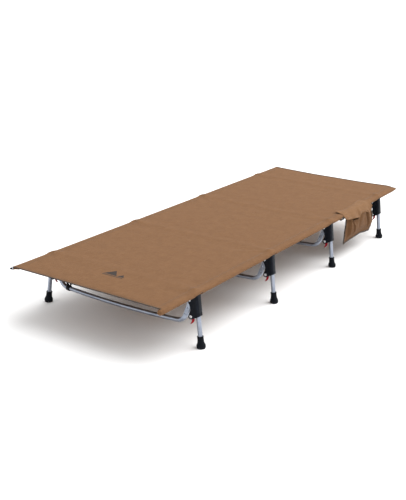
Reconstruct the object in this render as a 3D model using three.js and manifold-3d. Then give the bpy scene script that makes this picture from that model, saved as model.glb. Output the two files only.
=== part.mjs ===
// A low folding camp cot, in millimetres, +Z up, standing on z = 0 and centred on x = y = 0.
// A fabric bed is stretched between two sectional side poles. Four transverse leg sets carry the
// poles: each is a bowed cross tube with a lever at either end, made of a hub that hooks under the
// pole, a leg tube and a rubber foot. A lever folds inwards about its pivot pin.
import * as THREE from 'three';
import { mergeVertices } from 'three/addons/utils/BufferGeometryUtils.js';
import Module from 'manifold-3d';

const wasm = await Module();
wasm.setup();

// ---- Driving dimensions ----

const GAP = 0.3;                    // between pieces that touch on the real cot
const RUNNING_GAP = 0.5;            // between pieces that turn past each other

const BED_LENGTH = 1900;            // fabric, along Y
const POLE_SPREAD = 640;            // between the side poles' axes
const POLE_HEIGHT = 190;            // pole axis above the floor
const FABRIC_THICKNESS = 1.6;

const POLE_DIAMETER = 16;
const POLE_WALL = 0.8;
const POLE_OVERHANG = 5;            // of the pole past each end of the fabric
const POLE_SECTIONS = 4;            // plugged end to end on each side
const FERRULE_WALL = 1.2;
const FERRULE_REACH = 40;           // into the next section
const CAP_FLANGE = 4;
const CAP_PLUG = 14;
const SLEEVE_TAB = 12;              // from the pole's axis in to the seam with the panel
const NOTCH_MARGIN = 6;             // of the sleeve's cut-outs, either side of a hub

const LEG_SETS = 4;
const LEG_SET_PITCH = 500;

const LEG_DIAMETER = 16;
const LEG_WALL = 1.3;
const FOOT_SPLAY = 24.5;            // how far the foot stands outboard of the pole
const LEG_TOP = 24;                 // top end of the leg tube below the pole's axis, along the leg
const FOOT_HEIGHT = 42;
const FOOT_COLLAR_WALL = 2.6;
const FOOT_FLARE = 5;
const FOOT_SOLE = 8;                // rubber under the leg tube

const HUB_THICKNESS = 28;           // along Y
const HUB_WALL = 2.7;               // around the leg tube and at the hook's lip
const HUB_LENGTH = 77;              // from the pole's axis down to the hub's outer bottom edge
const HUB_EDGE_ROUND = 8;
const LIP_RISE = 3;                 // of the hook's outer lip above the pole's axis
const HOOK_INNER_ARC = 25;          // degrees of inner wall past the pole
const PIVOT_IN = 22;                // both pins stand this far inboard of the leg's axis
const PIVOT_DOWN = 21;              // pivot pin below the pole's axis, along the leg
const LATCH_DOWN = 79;              // latch pin, likewise
const PIVOT_BOSS = 9.5;
const LATCH_LOBE = 10;
const HUB_WAIST = 1;                // how far the inner edge bows in past the pins' line

const PIN_DIAMETER = 6;
const PIN_HEAD = 11;
const PIN_HEAD_THICKNESS = 1.6;

const LATCH_THICKNESS = 3.5;
const LATCH_SKIN = 1.5;             // hub wall outside the latch
const LATCH_PIN_DIAMETER = 4;

const TUBE_DIAMETER = 16;           // cross tube
const ARM_THICKNESS = 9;            // the cross tube's flattened ends, along Y
const ARM_WIDTH = 17;
const ARM_LENGTH = 65;              // straight, from the pivot down to the bend
const ARM_ANGLE = 71;               // degrees above the horizontal
const BEND_RADIUS = 40;
const FLAT_INTO_BEND = 15;          // degrees of bend that are flattened too
const BOW_SLOPE = 3.5;              // degrees, where the bow meets the bend
const ARM_HOLE_DIAMETER = 6;
const ARM_HOLES = [35, 60];         // distances from the pivot

const POCKET_START = 358;           // along Y
const POCKET_LENGTH = 312;
const POCKET_DEPTH = 122;           // below the pole's axis
const POCKET_MOUTH = 20;            // outer thickness across the top
const POCKET_FOOT = 10;             // and across the bottom
const POCKET_WALL = 1.6;
const FLAP_REACH = 38;              // over the bed, inboard of the pole's axis

// ---- Places worked out from them ----

const radians = THREE.MathUtils.degToRad;
const poleX = POLE_SPREAD / 2;
const poleRadius = POLE_DIAMETER / 2;
const legRadius = LEG_DIAMETER / 2;
const legTilt = Math.atan2(FOOT_SPLAY, POLE_HEIGHT);
const legLength = POLE_HEIGHT / Math.cos(legTilt);      // pole axis to floor, along the leg
const sleeveInner = poleRadius + GAP;
const sleeveOuter = sleeveInner + FABRIC_THICKNESS;
const bedTop = POLE_HEIGHT + sleeveOuter;
const bedUnder = bedTop - FABRIC_THICKNESS;
const legSetY = Array.from({ length: LEG_SETS }, (_, i) => (i - (LEG_SETS - 1) / 2) * LEG_SET_PITCH);

// The lever's own frame: origin on the pole's axis, x outboard, z up along the leg.
const pivot = { x: -PIVOT_IN, z: -PIVOT_DOWN };
const latchPin = { x: -PIVOT_IN, z: -LATCH_DOWN };
const hookRadius = poleRadius + GAP;
const hubOuter = Math.max(legRadius + GAP, hookRadius) + HUB_WALL;
const hubBack = -(legRadius + GAP + HUB_WALL);          // wall between the leg and the slot
const slotWidth = ARM_THICKNESS + 2 * RUNNING_GAP;

// The pivot in the frame of its leg set.
const pivotAt = {
  x: poleX + pivot.x * Math.cos(legTilt) - pivot.z * Math.sin(legTilt),
  z: POLE_HEIGHT + pivot.x * Math.sin(legTilt) + pivot.z * Math.cos(legTilt),
};

// ---- Materials ----

const material = (color, roughness, metalness) => new THREE.MeshStandardMaterial({ color, roughness, metalness });
const MATERIALS = {
  canvas: material(0x94704f, 0.9, 0),
  aluminium: material(0xb9bdc6, 0.35, 1),
  poleAlloy: material(0x9a9da3, 0.4, 1),
  plastic: material(0x15181f, 0.5, 0),
  rubber: material(0x1b1d22, 0.85, 0),
  steel: material(0xc4c6ca, 0.3, 1),
  latchRed: material(0x8f1c2b, 0.45, 0),
};

// ---- Solids ----

function toSolid(geometry) {
  const bare = geometry.clone();
  bare.deleteAttribute('normal');
  bare.deleteAttribute('uv');
  const merged = mergeVertices(bare, 1e-3);
  return new wasm.Manifold(new wasm.Mesh({
    numProp: 3,
    vertProperties: new Float32Array(merged.attributes.position.array),
    triVerts: new Uint32Array(merged.index.array),
  }));
}

function toGeometry(solid) {
  const mesh = solid.getMesh();
  const geometry = new THREE.BufferGeometry();
  geometry.setAttribute('position', new THREE.BufferAttribute(mesh.vertProperties, 3));
  geometry.setIndex(new THREE.BufferAttribute(mesh.triVerts, 1));
  geometry.computeVertexNormals();
  return geometry;
}

const outline = (points) => new THREE.Shape(points.map(([x, z]) => new THREE.Vector2(x, z)));

// An outline in x and z, as thick as from one y to another.
function plate(shape, fromY, toY, curveSegments = 4) {
  const geometry = new THREE.ExtrudeGeometry(shape, { depth: toY - fromY, bevelEnabled: false, curveSegments });
  return geometry.rotateX(Math.PI / 2).translate(0, toY, 0);
}

// A closed profile of [radius, height] points turned about Y.
function turned(profile, segments = 16) {
  return new THREE.LatheGeometry(profile.map(([r, y]) => new THREE.Vector2(r, y)), segments);
}

// The same, turned about Z.
const turnedUp = (profile, segments) => turned(profile, segments).rotateX(Math.PI / 2);

// A cylinder along Y through a point in x and z.
const crossPin = (diameter, length, at) => new THREE.CylinderGeometry(diameter / 2, diameter / 2, length, 16)
  .translate(at.x, 0, at.z);

function mesh(name, geometry, look) {
  const node = new THREE.Mesh(geometry, look);
  node.name = name;
  return node;
}

// ---- Side poles ----

// One section along +Y from 0, with a bore for its neighbour's ferrule and, unless it is the last,
// a ferrule of its own.
function poleSection(length, hasFerrule) {
  const bore = poleRadius - POLE_WALL;
  if (!hasFerrule) return turned([[bore, 0], [poleRadius, 0], [poleRadius, length], [bore, length], [bore, 0]]);
  const ferrule = bore - GAP;
  const eye = ferrule - FERRULE_WALL;
  return turned([
    [bore, 0], [poleRadius, 0], [poleRadius, length], [ferrule, length], [ferrule, length + FERRULE_REACH],
    [eye, length + FERRULE_REACH], [eye, length - FERRULE_REACH], [bore, length - FERRULE_REACH], [bore, 0],
  ]);
}

// An end cap with its plug towards -Y.
function poleCap() {
  const plug = poleRadius - POLE_WALL - GAP;
  return turned([
    [0, -CAP_PLUG], [plug, -CAP_PLUG], [plug, GAP], [poleRadius, GAP], [poleRadius, CAP_FLANGE - 1],
    [poleRadius - 1, CAP_FLANGE], [0, CAP_FLANGE],
  ]);
}

function sidePole(side, sign) {
  const group = new THREE.Group();
  group.position.set(sign * poleX, 0, POLE_HEIGHT);
  const length = BED_LENGTH + 2 * POLE_OVERHANG;
  const pitch = length / POLE_SECTIONS;
  for (let i = 0; i < POLE_SECTIONS; i++) {
    const isLast = i === POLE_SECTIONS - 1;
    const section = mesh(`pole_${side}_section_${i + 1}`,
      poleSection(isLast ? pitch : pitch - GAP, !isLast), MATERIALS.poleAlloy);
    section.position.y = -length / 2 + i * pitch;
    group.add(section);
  }
  const headCap = mesh(`pole_${side}_cap_head`, poleCap(), MATERIALS.plastic);
  headCap.position.y = -length / 2;
  headCap.rotation.x = Math.PI;
  const tailCap = mesh(`pole_${side}_cap_foot`, poleCap(), MATERIALS.plastic);
  tailCap.position.y = length / 2;
  group.add(headCap, tailCap);
  return group;
}

// ---- Fabric bed ----

function bedPanel() {
  const width = POLE_SPREAD - 2 * (SLEEVE_TAB + GAP);
  return new THREE.BoxGeometry(width, BED_LENGTH, FABRIC_THICKNESS).translate(0, 0, bedTop - FABRIC_THICKNESS / 2);
}

// The tunnel round a pole with its seam tab inboard, cut open underneath for each hub's hook.
function poleSleeve() {
  const half = BED_LENGTH / 2;
  const ring = new THREE.Shape().absarc(0, 0, sleeveOuter, 0, 2 * Math.PI, false);
  ring.holes.push(new THREE.Path().absarc(0, 0, sleeveInner, 0, 2 * Math.PI, true));
  const tabTop = sleeveOuter;
  const tab = outline([[-SLEEVE_TAB, tabTop - FABRIC_THICKNESS], [-1, tabTop - FABRIC_THICKNESS], [-1, tabTop],
    [-SLEEVE_TAB, tabTop]]);
  let solid = toSolid(plate(ring, -half, half, 10)).add(toSolid(plate(tab, -half, half)));
  const notchTop = LIP_RISE * Math.cos(legTilt) + hubOuter * Math.sin(legTilt) + RUNNING_GAP;
  const notchSize = 4 * sleeveOuter;
  for (const y of legSetY) {
    const notch = new THREE.BoxGeometry(notchSize, HUB_THICKNESS + 2 * NOTCH_MARGIN, notchSize)
      .translate(0, y, notchTop - notchSize / 2);
    solid = solid.subtract(toSolid(notch));
  }
  return toGeometry(solid);
}

// A saddle pocket: a flap over the sleeve and a pouch, open at the top, down its outboard side.
function saddlePocket() {
  const inner = sleeveOuter + GAP;
  const outer = inner + POCKET_WALL;
  const end = POCKET_START + POCKET_LENGTH;
  const strap = new THREE.Shape()
    .moveTo(inner, -POCKET_DEPTH).lineTo(outer, -POCKET_DEPTH).lineTo(outer, 0)
    .absarc(0, 0, outer, 0, Math.PI / 2, false)
    .lineTo(-FLAP_REACH, outer).lineTo(-FLAP_REACH, inner).lineTo(0, inner)
    .absarc(0, 0, inner, Math.PI / 2, 0, true)
    .lineTo(inner, -POCKET_DEPTH);
  const pouchTop = -POCKET_WALL;
  const pouch = outline([[inner, -POCKET_DEPTH], [inner + POCKET_FOOT, -POCKET_DEPTH],
    [inner + POCKET_MOUTH, pouchTop], [inner, pouchTop]]);
  const hollow = outline([[outer, -POCKET_DEPTH + POCKET_WALL],
    [inner + POCKET_FOOT - POCKET_WALL, -POCKET_DEPTH + POCKET_WALL],
    [inner + POCKET_MOUTH - POCKET_WALL, 1], [outer, 1]]);
  const solid = toSolid(plate(pouch, POCKET_START, end))
    .subtract(toSolid(plate(hollow, POCKET_START + POCKET_WALL, end - POCKET_WALL)))
    .add(toSolid(plate(strap, POCKET_START, end)));
  return toGeometry(solid);
}

// ---- Cross tube ----

// Its centre line, from the middle of the bow out: a shallow arc, a bend and a straight arm that
// ends at the pivot.
const slope = radians(BOW_SLOPE);
const steep = radians(ARM_ANGLE);
const armFoot = { x: pivotAt.x - ARM_LENGTH * Math.cos(steep), z: pivotAt.z - ARM_LENGTH * Math.sin(steep) };
const bowEnd = {
  x: armFoot.x - BEND_RADIUS * (Math.sin(steep) - Math.sin(slope)),
  z: armFoot.z - BEND_RADIUS * (Math.cos(slope) - Math.cos(steep)),
};
const bowRadius = bowEnd.x / Math.sin(slope);
const bowLength = bowRadius * slope;
const bendLength = BEND_RADIUS * (steep - slope);
const flatStart = bowLength + bendLength - BEND_RADIUS * radians(FLAT_INTO_BEND);
const pathLength = bowLength + bendLength + ARM_LENGTH;

// Position and direction at a distance from the middle.
function centreLine(distance) {
  if (distance < bowLength) {
    const angle = distance / bowRadius;
    return {
      x: bowRadius * Math.sin(angle), z: bowEnd.z + bowRadius * (Math.cos(slope) - Math.cos(angle)), angle,
    };
  }
  const bent = Math.min(distance - bowLength, bendLength);
  const angle = slope + bent / BEND_RADIUS;
  const straight = Math.max(distance - bowLength - bendLength, 0);
  return {
    x: bowEnd.x + BEND_RADIUS * (Math.sin(angle) - Math.sin(slope)) + straight * Math.cos(angle),
    z: bowEnd.z + BEND_RADIUS * (Math.cos(slope) - Math.cos(angle)) + straight * Math.sin(angle),
    angle,
  };
}

class TubePath extends THREE.Curve {
  constructor(reach) {
    super();
    this.reach = reach;
  }

  getPoint(t, target = new THREE.Vector3()) {
    const distance = (2 * t - 1) * this.reach;
    const { x, z } = centreLine(Math.abs(distance));
    return target.set(Math.sign(distance) * x, 0, z);
  }
}

// The right-hand flattened end: a strip along the centre line, rounded about the pivot.
function armShape() {
  const half = ARM_WIDTH / 2;
  const samples = Array.from({ length: 6 }, (_, i) => flatStart + (i / 5) * (pathLength - ARM_LENGTH - flatStart));
  const beside = (distance, offset) => {
    const { x, z, angle } = centreLine(distance);
    return [x + offset * Math.sin(angle), z - offset * Math.cos(angle)];
  };
  const outboard = samples.map((distance) => beside(distance, half));
  const inboard = samples.map((distance) => beside(distance, -half)).reverse();
  const shape = new THREE.Shape();
  shape.moveTo(...outboard[0]);
  outboard.slice(1).forEach((point) => shape.lineTo(...point));
  shape.absarc(pivotAt.x, pivotAt.z, half, steep - Math.PI / 2, steep + Math.PI / 2, false);
  inboard.forEach((point) => shape.lineTo(...point));
  return shape;
}

function crossTube() {
  const overlap = 4;
  const round = new THREE.Shape().absarc(0, 0, TUBE_DIAMETER / 2, 0, 2 * Math.PI, false);
  let solid = toSolid(new THREE.ExtrudeGeometry(round, {
    steps: 44, curveSegments: 5, extrudePath: new TubePath(flatStart + overlap),
  }));
  const halfThickness = ARM_THICKNESS / 2;
  let arm = toSolid(plate(armShape(), -halfThickness, halfThickness))
    .subtract(toSolid(crossPin(PIN_DIAMETER + 2 * GAP, 2 * ARM_THICKNESS, pivotAt)));
  for (const distance of ARM_HOLES) {
    arm = arm.subtract(toSolid(crossPin(ARM_HOLE_DIAMETER, 2 * ARM_THICKNESS, centreLine(pathLength - distance))));
  }
  solid = solid.add(arm).add(arm.rotate([0, 0, 180]));
  return toGeometry(solid);
}

// ---- Levers ----

// The hub seen along Y: outer edge, lip, hook under the pole, inner wall that turns about the
// pivot, pivot boss, waist, latch lobe and sloping bottom.
function hubShape() {
  const poleDistance = Math.hypot(pivot.x, pivot.z);
  const poleAngle = Math.atan2(-pivot.z, -pivot.x);
  const lipAngle = Math.asin(LIP_RISE / hookRadius);
  const waistX = pivot.x + HUB_WAIST;
  const waistZ = (pivot.z + latchPin.z) / 2;
  return new THREE.Shape()
    .moveTo(hubOuter, -HUB_LENGTH)
    .lineTo(hubOuter, LIP_RISE - HUB_WALL / 3)
    .lineTo(hubOuter - HUB_WALL / 3, LIP_RISE)
    .absarc(0, 0, hookRadius, lipAngle, Math.PI + poleAngle, true)
    .absarc(pivot.x, pivot.z, poleDistance - hookRadius, poleAngle, poleAngle + radians(HOOK_INNER_ARC), false)
    .absarc(pivot.x, pivot.z, PIVOT_BOSS, radians(100), radians(190), false)
    .quadraticCurveTo(waistX, pivot.z - 2 * PIVOT_BOSS, waistX, waistZ)
    .quadraticCurveTo(waistX, latchPin.z + 2 * LATCH_LOBE, latchPin.x - LATCH_LOBE, latchPin.z)
    .absarc(latchPin.x, latchPin.z, LATCH_LOBE, Math.PI, radians(285), false)
    .lineTo(hubOuter, -HUB_LENGTH);
}

// The slot between the hub's cheeks that the cross tube's arm turns in, open inboard.
function slotShape() {
  const armSide = pivot.x + ARM_WIDTH / 2 + 2 * RUNNING_GAP;
  const wallStart = pivot.z - Math.abs(hubBack - armSide) * 2;
  const far = 2 * (LATCH_DOWN + LATCH_LOBE);
  return outline([[-far, far], [armSide, far], [armSide, pivot.z], [hubBack, wallStart], [hubBack, -far],
    [-far, -far]]);
}

const latchBoss = LATCH_PIN_DIAMETER / 2 + 3;

// The red latch: a boss on its pin and a curved thumb tab below it.
function latchShape() {
  const { x, z } = latchPin;
  const shape = new THREE.Shape()
    .moveTo(x + latchBoss, z)
    .quadraticCurveTo(x + 12, z - 2, x + 12, z - 9)
    .quadraticCurveTo(x + 10, z - 21, x - 3, z - 27)
    .lineTo(x - 5, z - 25)
    .quadraticCurveTo(x + 3, z - 18, x + 2, z - 9)
    .lineTo(x - 1, z - latchBoss)
    .absarc(x, z, latchBoss, radians(255), 0, true);
  shape.holes.push(new THREE.Path().absarc(x, z, LATCH_PIN_DIAMETER / 2 + GAP, 0, 2 * Math.PI, false));
  return shape;
}

// The room it turns in, round the stub that is its pin.
function latchPocketShape() {
  const { x, z } = latchPin;
  const room = latchBoss + 1;
  const shape = outline([[x - room, z - room + 2], [x - 2, z - room], [x - 2, z - 40], [x + 17, z - 40], [x + 17, z - 1],
    [x + room + 2, z + room], [x - room, z + room]]);
  shape.holes.push(new THREE.Path().absarc(x, z, LATCH_PIN_DIAMETER / 2, 0, 2 * Math.PI, true));
  return shape;
}

const latchFront = -HUB_THICKNESS / 2 + LATCH_SKIN;

function hub() {
  const half = HUB_THICKNESS / 2;
  const corner = half - HUB_EDGE_ROUND;
  const far = 2 * (LATCH_DOWN + LATCH_LOBE);
  const rounded = new THREE.Shape()
    .moveTo(-far, -half).lineTo(hubOuter - HUB_EDGE_ROUND, -half)
    .absarc(hubOuter - HUB_EDGE_ROUND, -corner, HUB_EDGE_ROUND, -Math.PI / 2, 0, false)
    .absarc(hubOuter - HUB_EDGE_ROUND, corner, HUB_EDGE_ROUND, 0, Math.PI / 2, false)
    .lineTo(-far, half);
  const envelope = new THREE.ExtrudeGeometry(rounded, { depth: 2 * far, bevelEnabled: false, curveSegments: 3 })
    .translate(0, 0, -far);
  const socket = new THREE.CylinderGeometry(legRadius + GAP, legRadius + GAP, legLength, 16)
    .rotateX(Math.PI / 2).translate(0, 0, -LEG_TOP + GAP - legLength / 2);
  const solid = toSolid(plate(hubShape(), -half, half))
    .intersect(toSolid(envelope))
    .subtract(toSolid(plate(slotShape(), -slotWidth / 2, slotWidth / 2)))
    .subtract(toSolid(socket))
    .subtract(toSolid(crossPin(PIN_DIAMETER + 2 * GAP, 2 * HUB_THICKNESS, pivot)))
    .subtract(toSolid(plate(latchPocketShape(), latchFront, latchFront + LATCH_THICKNESS + 2 * GAP)));
  return toGeometry(solid);
}

function latch() {
  return plate(latchShape(), latchFront + GAP, latchFront + GAP + LATCH_THICKNESS);
}

function pivotPin() {
  const reach = HUB_THICKNESS / 2 + GAP;
  const shaft = PIN_DIAMETER / 2;
  const head = PIN_HEAD / 2;
  const top = reach + PIN_HEAD_THICKNESS;
  return turned([
    [0, -top], [head - 1, -top], [head, -reach - 0.4], [head, -reach], [shaft, -reach],
    [shaft, reach], [head, reach], [head, reach + 0.4], [head - 1, top], [0, top],
  ]).translate(pivot.x, 0, pivot.z);
}

function legTube() {
  const bottom = -legLength + FOOT_SOLE;
  const bore = legRadius - LEG_WALL;
  return turnedUp([
    [bore, bottom], [legRadius, bottom], [legRadius, -LEG_TOP], [bore, -LEG_TOP], [bore, bottom],
  ]);
}

// A flared rubber boot, cut level with the floor.
function foot() {
  const top = -legLength + FOOT_HEIGHT;
  const bore = legRadius + GAP;
  const collar = bore + FOOT_COLLAR_WALL;
  const flare = collar + FOOT_FLARE;
  const seat = -legLength + FOOT_SOLE - GAP;
  const below = -legLength - flare * Math.tan(legTilt) - 0.2;
  const boot = toSolid(turnedUp([
    [0, below], [flare - 3.5, below], [flare - 1, -legLength + 1.5], [flare, -legLength + 5],
    [flare, -legLength + 10], [flare - 1, -legLength + 13], [collar + 0.8, -legLength + 19],
    [collar, -legLength + 25], [collar, top], [bore, top], [bore, seat], [0, seat],
  ]));
  const size = 8 * flare;
  const floor = new THREE.BoxGeometry(size, size, size).translate(0, 0, -size / 2)
    .rotateY(legTilt).translate(0, 0, -legLength);
  return toGeometry(boot.subtract(toSolid(floor)));
}

function lever(number, side) {
  const group = new THREE.Group();
  group.position.set(poleX, 0, POLE_HEIGHT);
  group.rotation.y = -legTilt;
  const named = (piece) => `${piece}_${number}_${side}`;
  group.add(
    mesh(named('hub'), hub(), MATERIALS.plastic),
    mesh(named('pivot_pin'), pivotPin(), MATERIALS.steel),
    mesh(named('leg_tube'), legTube(), MATERIALS.aluminium),
    mesh(named('foot'), foot(), MATERIALS.rubber),
    mesh(named('latch'), latch(), MATERIALS.latchRed),
  );
  return group;
}

// The same lever serves both ends of a cross tube, turned half round.
function legSet(number, y) {
  const group = new THREE.Group();
  group.position.y = y;
  const leftEnd = new THREE.Group();
  leftEnd.rotation.z = Math.PI;
  leftEnd.add(lever(number, 'left'));
  group.add(mesh(`cross_tube_${number}`, crossTube(), MATERIALS.aluminium), lever(number, 'right'), leftEnd);
  return group;
}

// ---- The whole cot ----

const cot = new THREE.Group();
cot.add(mesh('bed_panel', bedPanel(), MATERIALS.canvas));
for (const [side, sign] of [['left', -1], ['right', 1]]) {
  const sleeve = mesh(`sleeve_${side}`, poleSleeve(), MATERIALS.canvas);
  sleeve.position.set(sign * poleX, 0, POLE_HEIGHT);
  sleeve.rotation.z = side === 'left' ? Math.PI : 0;
  cot.add(sleeve, sidePole(side, sign));
}
const pocket = mesh('saddle_pocket', saddlePocket(), MATERIALS.canvas);
pocket.position.set(poleX, 0, POLE_HEIGHT);
cot.add(pocket);
legSetY.forEach((y, i) => cot.add(legSet(i + 1, y)));

export default cot;
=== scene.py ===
# %% [markdown]
# # A low folding camp cot
# A fabric bed is stretched between two long side poles. Four leg sets carry the poles, each a
# bowed cross tube with a lever at either end: a moulded grip that hooks under the pole, a leg
# tube and a rubber boot. The measured frame is loaded first. It gives every place and joint, and
# the pieces made below are shaped round it with the tools one would use by hand.

import math

import bpy
import numpy as np
from mathutils import Matrix, Vector


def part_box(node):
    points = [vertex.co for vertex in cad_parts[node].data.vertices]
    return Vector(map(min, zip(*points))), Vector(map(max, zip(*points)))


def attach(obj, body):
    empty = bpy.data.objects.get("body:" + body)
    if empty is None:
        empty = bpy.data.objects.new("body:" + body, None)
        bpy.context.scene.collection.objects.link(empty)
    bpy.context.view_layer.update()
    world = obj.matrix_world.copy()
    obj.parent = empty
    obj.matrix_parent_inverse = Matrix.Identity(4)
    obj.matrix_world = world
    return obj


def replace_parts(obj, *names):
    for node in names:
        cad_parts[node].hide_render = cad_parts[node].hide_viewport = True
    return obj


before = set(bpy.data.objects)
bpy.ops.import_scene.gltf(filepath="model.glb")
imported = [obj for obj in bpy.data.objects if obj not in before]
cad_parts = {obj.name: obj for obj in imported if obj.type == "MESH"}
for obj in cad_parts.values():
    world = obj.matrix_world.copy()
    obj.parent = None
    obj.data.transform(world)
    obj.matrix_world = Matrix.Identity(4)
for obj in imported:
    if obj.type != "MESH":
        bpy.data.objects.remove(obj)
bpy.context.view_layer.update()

# %% [markdown]
# The camera comes first, so that every later render can be judged from the same place. Its place
# is worked out from the angles round the bed, above the floor and of its own slight lean.

# %% Camera
AIM = Vector((-0.0556, -0.2926, 0.2))
AZIMUTH, ELEVATION, LEAN = (math.radians(a) for a in (34.388, 17.959, 0.998))
DISTANCE = 3.5221

towards_camera = Vector((
    math.sin(AZIMUTH) * math.cos(ELEVATION),
    -math.cos(AZIMUTH) * math.cos(ELEVATION),
    math.sin(ELEVATION),
))
level_right = (-towards_camera).cross(Vector((0, 0, 1))).normalized()
level_up = level_right.cross(-towards_camera)
right = level_right * math.cos(LEAN) + level_up * math.sin(LEAN)
up = level_up * math.cos(LEAN) - level_right * math.sin(LEAN)

bpy.ops.object.camera_add()
camera = bpy.context.object
camera.matrix_world = Matrix.Translation(AIM + towards_camera * DISTANCE) @ (
    Matrix((right, up, towards_camera)).transposed().to_4x4()
)
camera.data.lens = 64.672
camera.data.shift_x, camera.data.shift_y = 0.04231, -0.02954
camera.data.clip_end = 200
bpy.context.scene.camera = camera
print("camera at", [round(v, 3) for v in camera.location])

# %% [markdown]
# Places are read off the frame instead of being typed in. The pole's end cap gives the pole's
# axis, and each lever's pivot pin gives its leg set's place along the bed. The lever leans
# outwards, so a lever's pieces are modelled upright round the pole's axis and then leant.

# %% Places from the frame
def middle(node):
    low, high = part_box(node)
    return (low + high) / 2


POLE_X = middle("pole_right_cap_head").x
POLE_Z = middle("pole_right_cap_head").z
POLE_RADIUS = (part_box("pole_right_section_1")[1].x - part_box("pole_right_section_1")[0].x) / 2
LEG_SETS = (1, 2, 3, 4)
SET_Y = [middle(f"cross_tube_{n}").y for n in LEG_SETS]
BED_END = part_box("bed_panel")[1].y
BED_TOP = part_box("bed_panel")[1].z
SIDES = ("left", "right")

PIVOT = Vector((-0.022, 0, -0.021))  # in the upright lever, from the pole's axis
LATCH_PIN = Vector((-0.022, 0, -0.079))
pin_offset = middle("pivot_pin_1_right") - Vector((POLE_X, SET_Y[0], POLE_Z))
LEAN_OUT = math.atan2(pin_offset.z, pin_offset.x) - math.atan2(PIVOT.z, PIVOT.x)
LEAN_OUT = (LEAN_OUT + math.pi) % (2 * math.pi) - math.pi
LEG_LENGTH = POLE_Z / math.cos(LEAN_OUT)


def lever_place(number, side):
    """Takes a piece of the upright lever to its place on a leg set."""
    turn = Matrix.Rotation(math.pi if side == "left" else 0, 4, "Z")
    lean = Matrix.Rotation(-LEAN_OUT, 4, "Y")
    to_pole = Matrix.Translation((POLE_X, 0, POLE_Z))
    return Matrix.Translation((0, SET_Y[number - 1], 0)) @ turn @ to_pole @ lean


print("pole axis", round(POLE_X, 4), round(POLE_Z, 4), "lean", round(math.degrees(LEAN_OUT), 2))
print("leg sets at", [round(v, 3) for v in SET_Y])

# %% [markdown]
# An operator acts on everything that is selected, and loading the frame leaves its parts selected.
# These helpers select one piece, or the faces and edges of a piece that pass a test on their
# place, and they add and apply a modifier in one step.

# %% Hands: selecting, editing, modifiers
def pick(*pieces):
    bpy.ops.object.select_all(action="DESELECT")
    for piece in pieces:
        piece.select_set(True)
    bpy.context.view_layer.objects.active = pieces[-1]


def edit_where(piece, kind, test):
    """Opens a piece for editing with only the faces, edges or vertices that pass a test selected."""
    pick(piece)
    bpy.ops.object.mode_set(mode="EDIT")
    bpy.ops.mesh.select_mode(type=kind)
    bpy.ops.mesh.select_all(action="DESELECT")
    bpy.ops.object.mode_set(mode="OBJECT")
    mesh = piece.data
    if kind == "FACE":
        for face in mesh.polygons:
            face.select = bool(test(face.center, face.normal))
    elif kind == "EDGE":
        for edge in mesh.edges:
            a, b = (mesh.vertices[i].co for i in edge.vertices)
            edge.select = bool(test((a + b) / 2, b - a))
    else:
        for vertex in mesh.vertices:
            vertex.select = bool(test(vertex.co))
    bpy.ops.object.mode_set(mode="EDIT")


def edit_all(piece):
    pick(piece)
    bpy.ops.object.mode_set(mode="EDIT")
    bpy.ops.mesh.select_all(action="SELECT")


def done():
    bpy.ops.object.mode_set(mode="OBJECT")


def modify(piece, kind, **settings):
    """Adds a modifier, sets it and applies it."""
    pick(piece)
    bpy.ops.object.modifier_add(type=kind)
    modifier = piece.modifiers[-1]
    for name, value in settings.items():
        setattr(modifier, name, value)
    bpy.ops.object.modifier_apply(modifier=modifier.name)
    return piece


def face_outward(piece, weld=False):
    """Turns every face outward, after joining points that lie in one place if asked."""
    edit_all(piece)
    if weld:
        bpy.ops.mesh.remove_doubles(threshold=1e-6)
    bpy.ops.mesh.normals_make_consistent(inside=False)
    done()


def smooth(piece, angle=None):
    """Shades smooth, all over or only across edges flatter than an angle in degrees."""
    pick(piece)
    if angle is None:
        bpy.ops.object.shade_smooth()
    else:
        bpy.ops.object.shade_smooth_by_angle(angle=math.radians(angle))


def move_points(piece, rule):
    """Sends all of a piece's points through a rule that takes and gives an array of places."""
    places = np.empty(len(piece.data.vertices) * 3)
    piece.data.vertices.foreach_get("co", places)
    piece.data.vertices.foreach_set("co", np.asarray(rule(places.reshape(-1, 3))).ravel())
    piece.data.update()


def settle(piece, name):
    """Gives a piece its name and puts its place into its mesh."""
    pick(piece)
    bpy.ops.object.transform_apply(location=True, rotation=True, scale=True)
    piece.name = piece.data.name = name
    return piece


def cut(piece, *cutters, operation="DIFFERENCE"):
    for cutter in cutters:
        modify(piece, "BOOLEAN", operation=operation, object=cutter, solver="EXACT")
        bpy.data.objects.remove(cutter)
    return piece


def soften(piece, width, segments=2, angle=35):
    """Rounds the sharp edges and shades the rest smooth."""
    modify(piece, "BEVEL", width=width, segments=segments, limit_method="ANGLE",
           angle_limit=math.radians(angle), use_clamp_overlap=True)
    smooth(piece, 40)
    return piece


def copy_to(piece, name, place):
    """A copy with its own mesh, taken to its place."""
    pick(piece)
    bpy.ops.object.duplicate()
    twin = bpy.context.object
    twin.name = twin.data.name = name
    twin.data.transform(place)
    return twin


def report(piece):
    print(piece.name, len(piece.data.polygons), "faces", [round(v * 1000, 1) for v in piece.dimensions], "mm")
    return piece


# %% [markdown]
# Four ways of starting a piece cover this object. A plate is a filled circle whose rim is pulled
# to an outline and extruded. A turned piece is a ring extruded and resized along a profile. A rod
# is a cylinder, mostly used to cut with. A surface is a grid laid on rows of points, which is how
# cloth and bent tube are made.

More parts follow.
